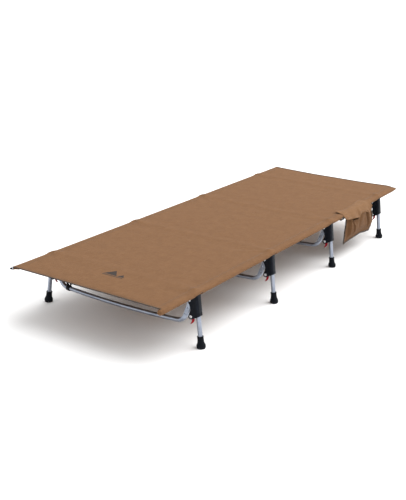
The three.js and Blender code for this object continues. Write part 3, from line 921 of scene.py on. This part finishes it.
# %% Side poles
FERRULE_REACH = 0.04
POLE_WALL = 0.0008
for side, sign in (("left", -1), ("right", 1)):
    along = Matrix.Translation((sign * POLE_X, 0, POLE_Z)) @ Matrix.Rotation(math.radians(-90), 4, "X")
    for number in LEG_SETS:
        node = f"pole_{side}_section_{number}"
        start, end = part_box(node)[0].y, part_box(node)[1].y
        last = number == LEG_SETS[-1]
        rim = end if last else end - FERRULE_REACH
        bore = POLE_RADIUS - POLE_WALL
        profile = [(bore, start), (POLE_RADIUS - 0.0003, start), (POLE_RADIUS, start + 0.0003)]
        for ring in (start + 0.05, rim - 0.008):
            profile += [(POLE_RADIUS, ring - 0.001), (POLE_RADIUS - 0.0004, ring - 0.0003),
                        (POLE_RADIUS - 0.0004, ring + 0.0003), (POLE_RADIUS, ring + 0.001)]
        profile += [(POLE_RADIUS, rim - 0.0003), (POLE_RADIUS - 0.0003, rim)]
        if not last:
            profile += [(bore - 0.0003, rim), (bore - 0.0003, end - 0.0006), (bore - 0.0009, end),
                        (bore - 0.0015, end), (bore - 0.0015, rim - FERRULE_REACH)]
        profile += [(bore, rim if last else rim - FERRULE_REACH), (bore, start)]
        section = turned(f"tube_{side}_{number}", profile, sides=40, closed=True)
        section.data.transform(along)
        move_points(section, draw_down)
        smooth(section, 30)
        dress(section, pole_metal)
        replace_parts(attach(section, "root"), node)
    for end_name, direction in (("head", -1), ("foot", 1)):
        tip = turned(f"tip_{side}_{end_name}", [
            (0.0068, -0.014), (0.0069, 0.0003), (0.0080, 0.0003), (0.0083, 0.0008), (0.0083, 0.0022),
            (0.0078, 0.0032), (0.0066, 0.0039), (0.0030, 0.0040)], sides=40)
        tip.data.transform(Matrix.Translation((sign * POLE_X, direction * (BED_END + 0.005), POLE_Z))
                           @ Matrix.Rotation(math.radians(-90 * direction), 4, "X"))
        move_points(tip, draw_down)
        smooth(tip, 35)
        dress(tip, cap_plastic)
        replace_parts(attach(tip, "root"), f"pole_{side}_cap_{end_name}")
print("poles placed")

# %% [markdown]
# The bed is one sheet of canvas. Across the cot it starts at a seam under the panel, runs once
# round a pole as a sleeve, over the top, and round the other pole to a second seam. Each sleeve
# is cut open underneath where a grip hooks the pole. It is a stretched sheet with nothing lying
# on it, so its shape is tension and not weight: the hooks push small bumps up into both edges,
# creases run in from the bumps, and the free ends pull in a little between the poles. A solver
# would need a long run to find that, so the sheet is laid out as rows of points with the bumps
# and creases worked out, and then gets its thickness.

# %% How the stretched cloth lies
CLOTH = 0.0006
GRIP_GAP = GRIP_HALF + 0.006  # half the length of a sleeve's cut-out
seeded = np.random.default_rng(11)


def bell(distance, width):
    return np.exp(-((distance / width) ** 2))


creases = []
for set_y in SET_Y:
    for side in (-1, 1):
        for slant in (-0.62, -0.3, 0.04, 0.36, 0.66):
            creases.append((set_y, side, slant + seeded.uniform(-0.09, 0.09), seeded.uniform(0.0006, 0.0013),
                            seeded.uniform(0.09, 0.24), seeded.uniform(0.007, 0.012)))


def bed_lift(x, y):
    """How far the cloth stands above its level at a place on top."""
    x, y = np.asarray(x, float), np.asarray(y, float)
    lift = np.zeros(np.broadcast(x, y).shape)
    inward = POLE_X - np.abs(x)
    for set_y in SET_Y:
        lift = lift + 0.0034 * bell(y - set_y - 0.003, 0.017) * bell(np.maximum(inward - 0.004, 0), 0.024)
        lift = lift + 0.0009 * bell(y - set_y, 0.020)  # the tight line from hook to hook
        lift = lift - 0.0007 * (bell(y - set_y - 0.045, 0.026) + bell(y - set_y + 0.045, 0.026))
    for set_y, side, slant, height, reach, width in creases:
        own = np.where(np.sign(x) == side, 1.0, 0.0)
        fade = np.exp(-np.maximum(inward - 0.012, 0) / reach) * np.clip(inward / 0.015, 0, 1)
        spread = width + 0.05 * np.maximum(inward, 0)
        lift = lift + own * height * fade * bell(y - set_y - slant * inward, spread)
    towards_end = np.clip((np.abs(y) - (BED_END - 0.16)) / 0.16, 0, 1)
    across = np.clip(1 - (x / (POLE_X - 0.006)) ** 2, 0, 1)
    lift = lift - 0.0030 * towards_end**2 * across
    return lift + 0.0004 * np.sin(x * 21 + 1.3 * np.sin(y * 9)) * across * np.cos(y * 13)


def pull_in(x, y):
    """The free ends are drawn in between the poles."""
    towards_end = np.clip((np.abs(y) - (BED_END - 0.20)) / 0.20, 0, 1)
    across = np.clip(1 - (np.asarray(x, float) / (POLE_X - 0.004)) ** 2, 0, 1)
    return -np.sign(y) * 0.006 * towards_end**2 * across


# %% The line across the cot, from seam to seam
def distances_along(points):
    """How far each point of a line lies from its first."""
    return np.concatenate(([0], np.cumsum(np.linalg.norm(np.diff(points, axis=0), axis=1))))


def round_pole(degrees, radius=SLEEVE_RADIUS):
    return [(POLE_X + radius * math.cos(a), POLE_Z + radius * math.sin(a)) for a in np.radians(degrees)]


notch_low = math.degrees(math.asin((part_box("sleeve_right")[1].z - 0.005 - POLE_Z) / SLEEVE_RADIUS))
DRAPE = -15  # degrees: how far the cloth hangs down outside a grip's lip
seam_level = BED_TOP - 2 * CLOTH - 0.00005
top_half = [(v, BED_TOP) for v in list(np.linspace(0, 0.24, 25)) + list(np.linspace(0.246, POLE_X, 17))]
sleeve = (round_pole(np.linspace(90, DRAPE, 12)[1:]) + round_pole(np.linspace(DRAPE, -90, 9)[1:])
          + round_pole(np.linspace(-90, -180 - notch_low, 12)[1:]))
below = ([(POLE_X - 0.0096, POLE_Z + 0.0066), (POLE_X - 0.0112, POLE_Z + 0.0079)]
         + [(POLE_X - inward, seam_level) for inward in (0.0136, 0.0175, 0.0215, 0.0255)])
half_line = top_half + sleeve + below
line = [(-px, pz) for px, pz in reversed(half_line[1:])] + half_line
line = np.array(line)
run = distances_along(line)

# %% Rows along the bed, closer together near the grips
row_y = {round(v, 5) for v in np.linspace(-BED_END, BED_END, 150)}
for set_y in SET_Y:
    row_y = {v for v in row_y if abs(v - set_y) > 0.062}
    row_y |= {round(float(set_y + v), 5) for v in np.concatenate((np.linspace(-0.062, -GRIP_GAP, 10),
                                                                  np.linspace(-GRIP_GAP, GRIP_GAP, 13),
                                                                  np.linspace(GRIP_GAP, 0.062, 10)))}
row_y |= {round(float(s * (BED_END - v)), 5) for s in (-1, 1) for v in (0.0025, 0.006)}
row_y = np.array(sorted(row_y))
X, Z = line[:, 0][None, :], line[:, 1][None, :]
Y = row_y[:, None]
on_top = (Z > BED_TOP - 1e-6) * 1.0
outboard = np.abs(X) > POLE_X - 1e-6
around = np.where(outboard, np.clip((Z - POLE_Z) / SLEEVE_RADIUS + 0.55, 0, 1), 0) * (1 - on_top)
bump = sum(0.0032 * np.clip(1.25 * bell(Y - set_y + 0.001, 0.020), 0, 1) for set_y in SET_Y)
side = np.sign(X)
out = (np.abs(X) - POLE_X) / SLEEVE_RADIUS
up_share = (Z - POLE_Z) / SLEEVE_RADIUS
seam_dip = -0.00025 * bell(np.abs(X) - (POLE_X - 0.0135), 0.0028) * on_top
rows = np.stack(np.broadcast_arrays(
    X + (1 - on_top) * side * out * bump * around,
    Y + pull_in(X, Y) * np.clip((BED_TOP - 0.003 < Z) * 1.0, 0, 1),
    Z + on_top * (bed_lift(X, Y) + seam_dip)
    + (1 - on_top) * np.where(out > -0.3, up_share * bump * around, 0),
), axis=-1)
cloth_map = np.stack(np.broadcast_arrays(run[None, :], Y), axis=-1)
bed = surface("bed", draw_down(rows), cloth_map)

# %% Cut the sleeves open, give the cloth its thickness
def in_notch(at, normal):
    if min(abs(at.y - s) for s in SET_Y) > GRIP_GAP or abs(at.x) < POLE_X - 0.0105:
        return False
    angle = math.degrees(math.atan2(at.z - POLE_Z, abs(at.x) - POLE_X))
    beside = min(abs(at.y - s - 0.017) for s in SET_Y) < 0.004  # past the grip, where the notch gapes
    return angle < (12 if beside else DRAPE) or angle > 180 - notch_low


edit_where(bed, "FACE", in_notch)
bpy.ops.mesh.delete(type="FACE")
done()
modify(bed, "SOLIDIFY", thickness=CLOTH, offset=-1, use_even_offset=True)
smooth(bed)
report(bed)

# %% [markdown]
# Each short end is bound with a narrow tape: a little shows on top, more is turned under. Its dark brown is
# painted shade, standing in for the shaded edge of the cloth. A strip is laid along the edge it binds, row by
# row, with the tape's own bend as its cross-section.

# %% Bound ends
def strip(name, path, section, cloth_across):
    """Lays a cross-section of (inward, up) points at each step of a path of (point, inward, up) frames."""
    rows, flat, length = [], [], 0
    for i, (point, inward, upward) in enumerate(path):
        if i:
            length += (point - path[i - 1][0]).length
        rows.append([tuple(point + inward * a + upward * b) for a, b in section])
        flat.append([(c, length) for c in cloth_across])
    piece = surface(name, rows, flat)
    return piece


end_section = [(0.0042, 0.0004), (0.0030, 0.0006), (0.0012, 0.0006), (0.0, 0.0004), (-0.0006, -0.0003),
               (0.0, -0.0011), (0.0012, -0.0014), (0.008, -0.0014), (0.018, -0.0014)]
end_run = [0, 0.0012, 0.003, 0.0043, 0.0053, 0.0063, 0.0076, 0.0144, 0.0244]
for end_name, direction in (("head", -1), ("foot", 1)):
    path = []
    for px in np.linspace(-(POLE_X - 0.001), POLE_X - 0.001, 90):
        y_end = direction * BED_END + float(pull_in(px, direction * BED_END))
        z_end = BED_TOP + float(bed_lift(px, direction * BED_END))
        path.append((Vector((px, y_end, z_end)), Vector((0, -direction, 0)), Vector((0, 0, 1))))
    hem = strip(f"hem_{end_name}", path, end_section, end_run)
    face_outward(hem)
    modify(hem, "SOLIDIFY", thickness=0.0004, offset=1)
    smooth(hem)
    move_points(hem, draw_down)
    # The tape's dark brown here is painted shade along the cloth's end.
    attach(dress(hem, dark_binding_and_painted_edge_shade), "root")
    report(hem)


# %% [markdown]
# Stitches are what the eye looks for on sewn canvas. One stitch is a short six-sided thread,
# rounded at its ends. An Array modifier repeats it along a row, and the row is then laid on the
# cloth by the same sum that shaped the cloth, so it rides over the bumps.

# %% Rows of stitches
def onto_bed(places):
    """Takes a flat row's points to where the bed's cloth went."""
    places[:, 1] += pull_in(places[:, 0], places[:, 1])
    places[:, 2] += bed_lift(places[:, 0], places[:, 1])
    return draw_down(places)


def stitch_row(name, start, end, pitch=0.0042, length=0.0031, thick=0.00034, lay=True):
    start, end = Vector(start), Vector(end)
    along = (end - start).normalized()
    bpy.ops.mesh.primitive_cylinder_add(vertices=6, radius=thick, depth=length, end_fill_type="NGON")
    row = settle(bpy.context.object, name)
    edit_where(row, "FACE", lambda at, normal: abs(normal.z) > 0.9)
    bpy.ops.mesh.inset(thickness=thick * 0.45)
    bpy.ops.mesh.select_all(action="DESELECT")
    done()
    for vertex in row.data.vertices:
        if abs(vertex.co.z) > length * 0.49 and vertex.co.xy.length < thick * 0.8:
            vertex.co.z *= 1.12
    row.data.transform(along.to_track_quat("Z", "Y").to_matrix().to_4x4())
    count = int((end - start).length / pitch)
    modify(row, "ARRAY", count=count, use_relative_offset=False, use_constant_offset=True,
           constant_offset_displace=along * pitch)
    row.data.transform(Matrix.Translation(start + along * pitch / 2))
    if lay:
        move_points(row, onto_bed)
    smooth(row, 50)
    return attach(dress(row, tan_thread), "root")


STITCH_LEVEL = BED_TOP + 0.0001
for side_name, sign in (("left", -1), ("right", 1)):
    for row_name, inward in (("outer", 0.0148), ("inner", 0.0205)):
        px, ends = sign * (POLE_X - inward), BED_END - 0.004
        stitch_row(f"stitches_{side_name}_{row_name}", (px, -ends, STITCH_LEVEL),
                                   (px, ends, STITCH_LEVEL))
for end_name, direction in (("head", -1), ("foot", 1)):
    for row_name, inward in (("outer", 0.0085), ("inner", 0.0155)):
        py = direction * (BED_END - inward)
        stitch_row(f"stitches_{end_name}_{row_name}", (-POLE_X + 0.024, py, STITCH_LEVEL),
                                   (POLE_X - 0.024, py, STITCH_LEVEL))

dress(bed, bed_canvas)
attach(bed, "root")
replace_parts(bed, "bed_panel", "sleeve_left", "sleeve_right")

# %% Two sleeve ends are sewn shut over the tips
for side_name, end_name, sign, direction in (("right", "head", 1, -1), ("left", "foot", -1, 1)):
    rings = []
    for radius, past in ((SLEEVE_RADIUS - 0.0002, -0.004), (SLEEVE_RADIUS - 0.0001, 0.001), (0.0096, 0.0050),
                         (0.0082, 0.0082), (0.0056, 0.0102), (0.0026, 0.0109), (0.0003, 0.0110)):
        rings.append([(sign * POLE_X + radius * math.cos(a), direction * (BED_END + past)
                       + 0.0004 * direction * math.sin(5 * a), POLE_Z + radius * math.sin(a))
                      for a in np.linspace(0, 2 * math.pi, 41)])
    flat = [[(0.01 * a / 6, 0.004 * i) for a in np.linspace(0, 2 * math.pi, 41)] for i in range(len(rings))]
    end_piece = surface(f"sleeve_end_{side_name}", rings, flat)
    face_outward(end_piece, weld=True)
    modify(end_piece, "SOLIDIFY", thickness=0.0005, offset=-1)
    smooth(end_piece)
    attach(dress(end_piece, bed_canvas), "root")

# %% [markdown]
# A small printed mark sits in the middle of the head end: two plain peaks over a line. The ink has
# next to no thickness, so each shape is a fine grid laid just clear of the cloth.

# %% Printed mark
MARK_Y = -BED_END + 0.148


def printed(name, low_left, low_right, top_left, top_right):
    """A four-cornered patch of ink; corners are (x, y), and two may meet."""
    rows = []
    for t in np.linspace(0, 1, 9):
        start = np.array(low_left) * (1 - t) + np.array(top_left) * t
        end = np.array(low_right) * (1 - t) + np.array(top_right) * t
        row = [start * (1 - s) + end * s for s in np.linspace(0, 1, 13)]
        rows.append([(px, py, BED_TOP + 0.00012 + float(bed_lift(px, py))) for px, py in row])
    patch = surface(name, rows)
    face_outward(patch, weld=True)
    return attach(dress(patch, mark_ink), "root")


marks = [
    printed("mark_peak_large", (-0.032, MARK_Y), (0.024, MARK_Y),
            (-0.004, MARK_Y + 0.038), (-0.004, MARK_Y + 0.038)),
    printed("mark_peak_small", (0.0252, MARK_Y), (0.055, MARK_Y),
            (0.040, MARK_Y + 0.021), (0.040, MARK_Y + 0.021)),
    printed("mark_line", (-0.032, MARK_Y - 0.010), (0.055, MARK_Y - 0.010), (-0.032, MARK_Y - 0.005),
            (0.055, MARK_Y - 0.005)),
]
print("marks:", len(marks))

# %% [markdown]
# The saddle pocket hangs on the right side between the third and fourth grips. It is three cuts
# of cloth: a pouch folded at its bottom, a flap that lies over the sleeve like a saddle and hides
# the pouch's mouth, and a loop of webbing beside it. Draped cloth could be left to a solver, but
# this one is sewn and bound on three sides, so its shape is mostly its cut. Each cut is laid out
# as rows of points from a few curves (edges, hem, folds) and gets its thickness afterwards.

# %% Curves for sewn edges
def wavy(value, knots):
    """A soft curve through (place, level) knots."""
    places, levels = (np.array(v, float) for v in zip(*knots))
    value = np.asarray(value, float)
    i = np.clip(np.searchsorted(places, value, side="right") - 1, 0, len(places) - 2)
    t = np.clip((value - places[i]) / (places[i + 1] - places[i]), 0, 1)
    return levels[i] + (levels[i + 1] - levels[i]) * t * t * (3 - 2 * t)


def ease(value):
    value = np.clip(value, 0, 1)
    return value * value * (3 - 2 * value)


def thicken(piece, thickness):
    """Gives laid cloth its thickness, faces outward, shaded smooth."""
    face_outward(piece, weld=True)
    modify(piece, "SOLIDIFY", thickness=thickness, offset=0)
    face_outward(piece)
    smooth(piece)
    return piece


def lay_along(piece, path):
    """Bends a piece made along +X onto a path of (point, inward, upward) frames."""
    points = np.array([tuple(p) for p, _, _ in path])
    frames = [np.array([tuple(v) for v in column]) for column in list(zip(*path))[1:]]
    steps = distances_along(points)

    def onto_path(places):
        point, inward, upward = (
            np.stack([np.interp(places[:, 0], steps, table[:, k]) for k in range(3)], axis=-1)
            for table in (points, *frames))
        return point + inward * places[:, 1:2] + upward * places[:, 2:3]

    move_points(piece, onto_path)


def path_length(path):
    return sum((b[0] - a[0]).length for a, b in zip(path, path[1:]))


# %% The pouch
POUCH_BACK = POLE_X + SLEEVE_RADIUS + 0.0008
BACK_TOP = 0.188  # the back wall's upper edge, under the flap
SEAM_GAP = 0.0018  # between front and back where they are sewn together
LEFT_EDGE = [(0, 0.3890), (0.25, 0.3862), (0.7, 0.3795), (1, 0.3755)]
RIGHT_EDGE = [(0, 0.6400), (0.22, 0.6600), (0.5, 0.6770), (0.78, 0.6700), (1, 0.6480)]
BOTTOM_EDGE = [(0, 0.0640), (0.10, 0.0668), (0.30, 0.0690), (0.62, 0.0715), (0.86, 0.0640), (1, 0.0600)]
MOUTH = [(0, 0.1760), (0.10, 0.1680), (0.19, 0.1545), (0.38, 0.1525), (0.47, 0.1740), (0.72, 0.1760),
         (0.80, 0.1640), (0.90, 0.1490), (1, 0.1600)]
GAPES = ((0.458, 0.030), (0.622, 0.018))  # where the mouth falls back under the flap, and half width
FOLDS = (  # place at the mouth and at the bottom, depth, half width, how far down it fades
    (0.405, 0.398, 0.0100, 0.0048, 1.30),
    (0.440, 0.462, 0.0090, 0.0050, 0.95),
    (0.566, 0.622, 0.0095, 0.0066, 1.10),
    (0.512, 0.492, 0.0040, 0.0100, 0.70),
)


def pouch_point(u, down, front):
    """A place on the pouch: u along the cot, down from mouth to bottom, on the front or back wall."""
    y = wavy(down, LEFT_EDGE) + (wavy(down, RIGHT_EDGE) - wavy(down, LEFT_EDGE)) * u
    top = wavy(u, MOUTH) if front else BACK_TOP
    bottom = wavy(u, BOTTOM_EDGE)
    z = top + (bottom - top) * down
    if not front:
        return POUCH_BACK + 0.0004 * math.sin(y * 60), y, z
    from_side = min(y - wavy(down, LEFT_EDGE), wavy(down, RIGHT_EDGE) - y)
    belly = ease((from_side - 0.0055) / 0.026) * ease((z - bottom - 0.0045) / 0.040)
    thick = 0.0150 - 0.0030 * down
    for mouth_y, bottom_y, depth, width, fade in FOLDS:
        middle_y = mouth_y + (bottom_y - mouth_y) * down
        strength = depth * ease(1.25 - down / fade)
        thick -= strength * bell(y - middle_y, width)
        thick += 0.55 * strength * bell(y - middle_y - 2.3 * width, 1.5 * width)
        thick += 0.30 * strength * bell(y - middle_y + 2.3 * width, 1.6 * width)
    for gape_y, width in GAPES:
        thick -= 0.0105 * bell(y - gape_y, width) * ease(1 - down / 0.32)
    thick += 0.0009 * math.sin(y * 74 + 2.2 * down) * math.sin(down * 5 + 0.6)
    return POUCH_BACK + SEAM_GAP + thick * belly, y, z


along_steps = np.linspace(0, 1, 121)
levels = [(d, False) for d in np.linspace(0, 1, 13)] + [(d, True) for d in np.linspace(1, 0, 49)]
pouch_rows = [[tuple(float(v) for v in pouch_point(u, d, front)) for u in along_steps] for d, front in levels]
pouch_grid = np.array(pouch_rows)
middle_run = distances_along(pouch_grid[:, len(along_steps) // 2])
pouch_map = [[(run_here, place[1]) for place in row] for run_here, row in zip(middle_run, pouch_grid)]


pouch = thicken(surface("pocket_pouch", pouch_rows, pouch_map), CLOTH)
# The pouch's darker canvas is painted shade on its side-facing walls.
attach(dress(pouch, pouch_canvas_painted_shade), "root")
report(pouch)

# %% Its binding and stitches
TAPE = 0.0004  # thickness of binding tape and turned hems
rim_path = []
outline_points = ([pouch_point(0, d, False) for d in np.linspace(0.08, 0.97, 34)]
                  + [pouch_point(u, 1, False) for u in np.linspace(0.02, 0.98, 60)]
                  + [pouch_point(1, d, False) for d in np.linspace(0.97, 0.12, 34)])
outline_points = [Vector((POUCH_BACK + SEAM_GAP / 2, float(y), float(z))) for _, y, z in outline_points]
for i, point in enumerate(outline_points):
    ahead = outline_points[min(i + 1, len(outline_points) - 1)] - outline_points[max(i - 1, 0)]
    rim_path.append((point, Vector((0, -ahead.z, ahead.y)).normalized(), Vector((1, 0, 0))))
bound_section = [(0.0058, 0.0018), (0.0030, 0.0020), (0.0004, 0.0020), (-0.0010, 0.0012), (-0.0014, 0.0),
                 (-0.0010, -0.0012), (0.0004, -0.0018), (0.0030, -0.0018), (0.0058, -0.0016)]
bound_run = [0, 0.0028, 0.0054, 0.007, 0.0084, 0.0098, 0.0114, 0.014, 0.0168]
binding = thicken(strip("pocket_binding", rim_path, bound_section, bound_run), TAPE)
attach(dress(binding, dark_binding_and_painted_edge_shade), "root")


def stitch_along(name, path, inward, upward):
    """A finer row of stitches along a path, shifted inward and upward from it."""
    row = stitch_row(name, (0, 0, 0), (path_length(path), 0, 0), pitch=0.0036, length=0.0026, thick=0.0003,
                     lay=False)
    lay_along(row, [(point + i * inward + u * upward, i, u) for point, i, u in path])


stitch_along("stitches_pocket_edge", rim_path, 0.0043, 0.0022)

mouth_path = []
mouth_points = [Vector([float(v) for v in pouch_point(u, 0, True)]) for u in np.linspace(0.02, 0.98, 90)]
for i, point in enumerate(mouth_points):
    ahead = (mouth_points[min(i + 1, 89)] - mouth_points[max(i - 1, 0)]).normalized()
    mouth_path.append((point, Vector((0, 0, -1)), Vector((0, 0, -1)).cross(ahead).normalized() * -1))
for i, (point, inward, outward) in enumerate(mouth_path):
    if outward.x < 0:
        mouth_path[i] = (point, inward, -outward)
mouth_section = [(0.0070, 0.0007), (0.0030, 0.0008), (0.0, 0.0007), (-0.0007, 0.0), (0.0, -0.0007),
                 (0.0070, -0.0007)]
mouth_run = [0, 0.004, 0.007, 0.008, 0.009, 0.016]
mouth_hem = thicken(strip("pocket_mouth_hem", mouth_path, mouth_section, mouth_run), TAPE)
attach(dress(mouth_hem, pouch_canvas_painted_shade), "root")
report(binding)

# %% The flap
FLAP_LEFT, FLAP_RIGHT = 0.3640, 0.6410
FLAP_IN = [(0.364, 0.2870), (0.400, 0.2945), (0.435, 0.2990), (0.511, 0.2950), (0.598, 0.2845),
           (0.616, 0.2880), (0.632, 0.3050), (0.641, 0.3180)]
FLAP_HEM = [(0.364, 0.1800), (0.380, 0.1765), (0.400, 0.1740), (0.427, 0.1690), (0.470, 0.1655),
            (0.492, 0.1620), (0.511, 0.1725), (0.545, 0.1740), (0.602, 0.1590), (0.622, 0.1640),
            (0.641, 0.1790)]
FLAP_CLEAR = 0.0013
HEM_X = POUCH_BACK + SEAM_GAP + 0.0155


def flap_line(y, count=46):
    """One line of the flap, from its inboard edge over the pole to the hem, evenly spaced."""
    x_in, hem_z = float(wavy(y, FLAP_IN)), float(wavy(y, FLAP_HEM))
    level = BED_TOP + FLAP_CLEAR
    radius = SLEEVE_RADIUS + FLAP_CLEAR
    flat = [(px, level + float(bed_lift(px, y))) for px in np.linspace(x_in, POLE_X - 0.004, 14)]
    bend = round_pole(np.linspace(90, 24, 16), radius)
    hem_x = HEM_X - 0.0030 * float(bell(y - 0.430, 0.020)) + 0.0020 * math.sin(y * 58)
    hem_x -= 0.0080 * float(ease((0.385 - y) / 0.02)) + 0.0060 * float(ease((y - 0.622) / 0.018))
    drop = swoop(bend[-1], (bend[-1][0] + 0.0046, bend[-1][1] - 0.0062), (hem_x, hem_z), 14)
    line = np.array(flat + bend + drop)
    run = distances_along(line)
    even = np.linspace(0, run[-1], count)
    return np.stack([np.interp(even, run, line[:, 0]), np.interp(even, run, line[:, 1])], axis=-1), even


flap_rows, flap_map = [], []
for y in np.linspace(FLAP_LEFT, FLAP_RIGHT, 131):
    line, even = flap_line(y)
    share = even / even[-1]
    tangent = np.gradient(line, axis=0)
    tangent /= np.linalg.norm(tangent, axis=1)[:, None]
    outward = np.stack([-tangent[:, 1], tangent[:, 0]], axis=-1)
    from_left, from_right = y - FLAP_LEFT, FLAP_RIGHT - y
    swell = 0.0007 * np.sin(y * 96 + 3.2 * share) * ease((share - 0.05) / 0.3)
    swell = swell + 0.0030 * bell(y - 0.512 + 0.03 * (share - 0.6), 0.010) * ease((share - 0.42) / 0.4)
    swell = swell + 0.0016 * bell(y - 0.455, 0.018) * ease((share - 0.5) / 0.4)
    swell = swell + 0.0018 * bell(y - 0.585, 0.016) * ease((share - 0.5) / 0.4)
    swell = swell + 0.0095 * np.exp(-((from_left / 0.030) ** 2)) * np.exp(-((share / 0.34) ** 2))
    swell = swell + 0.0022 * np.exp(-((from_right / 0.012) ** 2)) * np.exp(-(((share - 0.3) / 0.3) ** 2))
    laid = line + outward * np.maximum(swell, -0.0004)[:, None]
    slant = 0.006 * (1 - share) * math.exp(-((from_left / 0.05) ** 2))
    flap_rows.append([(float(px), float(y - back), float(pz)) for (px, pz), back in zip(laid, slant)])
    flap_map.append([(float(v), float(y)) for v in even])
flap = thicken(surface("pocket_flap", flap_rows, flap_map), 0.0007)
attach(dress(flap, flap_canvas), "root")
report(flap)

# %% The flap's turned hem and stitches
edge_points = [Vector(flap_rows[i][-1]) for i in range(len(flap_rows))]
fold_path = []
for i, point in enumerate(edge_points):
    inward = (Vector(flap_rows[i][-5]) - point).normalized()
    ahead = (edge_points[min(i + 1, len(edge_points) - 1)] - edge_points[max(i - 1, 0)]).normalized()
    fold_path.append((point, inward, inward.cross(ahead).normalized()))
if fold_path[60][2].x < 0:
    fold_path = [(p, i, -u) for p, i, u in fold_path]
fold_section = [(0.0080, 0.0008), (0.0030, 0.0009), (0.0, 0.0008), (-0.0009, 0.0), (0.0, -0.0008),
                (0.0080, -0.0008)]
fold_run = [0, 0.005, 0.008, 0.009, 0.010, 0.018]
flap_hem = thicken(strip("pocket_flap_hem", fold_path, fold_section, fold_run), TAPE)
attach(dress(flap_hem, flap_canvas), "root")
stitch_along("stitches_flap_hem", fold_path, 0.0062, 0.0012)
saddle_path = []
for i in range(4, len(flap_rows) - 8):
    point, inner = Vector(flap_rows[i][2]), Vector(flap_rows[i][5])
    inward = (inner - point).normalized()
    saddle_path.append((point, inward, Vector((0, 0, 1))))
stitch_along("stitches_flap_top", saddle_path, 0, 0.0006)

# %% The webbing loop beside the pouch
LOOP_WIDTH = 0.022
LOOP_LEFT = 0.350
loop_angles = np.radians(np.linspace(-4, -196, 41))
loop_rows, loop_map = [], []
for y in np.linspace(LOOP_LEFT, LOOP_LEFT + LOOP_WIDTH, 15):
    row, flat, run = [], [], 0.0
    for angle in loop_angles:
        sag = 0.0052 * max(-math.sin(angle), 0) ** 2
        radius = SLEEVE_RADIUS + 0.0011 + sag + 0.0003 * math.sin(angle * 7 + y * 300)
        rising = math.cos(angle) < 0 and math.sin(angle) > 0  # the inboard end, up to the seam
        if rising:
            radius = SLEEVE_RADIUS + 0.0016
        lean = 0.004 * max(-math.sin(angle), 0)
        place = (POLE_X + radius * math.cos(angle), y + lean, POLE_Z + radius * math.sin(angle))
        if rising:
            place = (place[0], place[1], min(place[2], BED_TOP - 0.0024))
        if row:
            run += math.dist(row[-1], place)
        row.append(place)
        flat.append((y, run))
    loop_rows.append(row)
    loop_map.append(flat)
loop = thicken(surface("pocket_loop", loop_rows, loop_map), 0.0012)
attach(dress(loop, loop_tape), "root")
report(loop)

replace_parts(pouch, "saddle_pocket")
print("pocket done")

# %% [markdown]
# The cot stands on a plain white floor that reaches far past the view, under a white sky, one very
# broad sun and a soft lamp. Both come from beyond the far right corner, so the fabric is a little
# brighter there and the grips keep a dark side with a soft upright highlight.

# %% Floor and light
bpy.ops.object.select_all(action="DESELECT")
bpy.ops.mesh.primitive_plane_add(size=120)
floor = settle(bpy.context.object, "floor")
floor_white = Finish("floor_white", Specular_IOR_Level=0.1)
paper = floor_white.noise(floor_white.place((3, 3, 3)), detail=2)
floor_white.set(Base_Color=floor_white.tint(paper, colour(238, 238, 238), colour(242, 242, 242)),
                Roughness=0.85 + 0.1 * paper)
floor.data.materials.append(floor_white.material)

sky = bpy.data.worlds.new("white_sky")
sky.use_nodes = True
sky.node_tree.nodes["Background"].inputs["Color"].default_value = (1, 1, 1, 1)
sky.node_tree.nodes["Background"].inputs["Strength"].default_value = 1.0
bpy.context.scene.world = sky


def turned_from(direction):
    """The rotation of a light that shines from a direction."""
    return Vector(direction).to_track_quat("Z", "Y").to_euler()


bpy.ops.object.light_add(type="SUN", rotation=turned_from((0.35, 0.55, 1)))
sun = bpy.context.object
sun.name, sun.data.energy, sun.data.angle = "broad_sun", 3.0, math.radians(70)
bpy.ops.object.light_add(type="AREA", location=(1.6, 2.2, 2.9), rotation=turned_from((1.6, 1.7, 2.7)))
lamp = bpy.context.object
lamp.name, lamp.data.energy = "key", 30
lamp.data.shape, lamp.data.size, lamp.data.size_y = "RECTANGLE", 2.0, 2.0
bpy.context.scene.view_settings.view_transform = "Standard"
print("stage set")
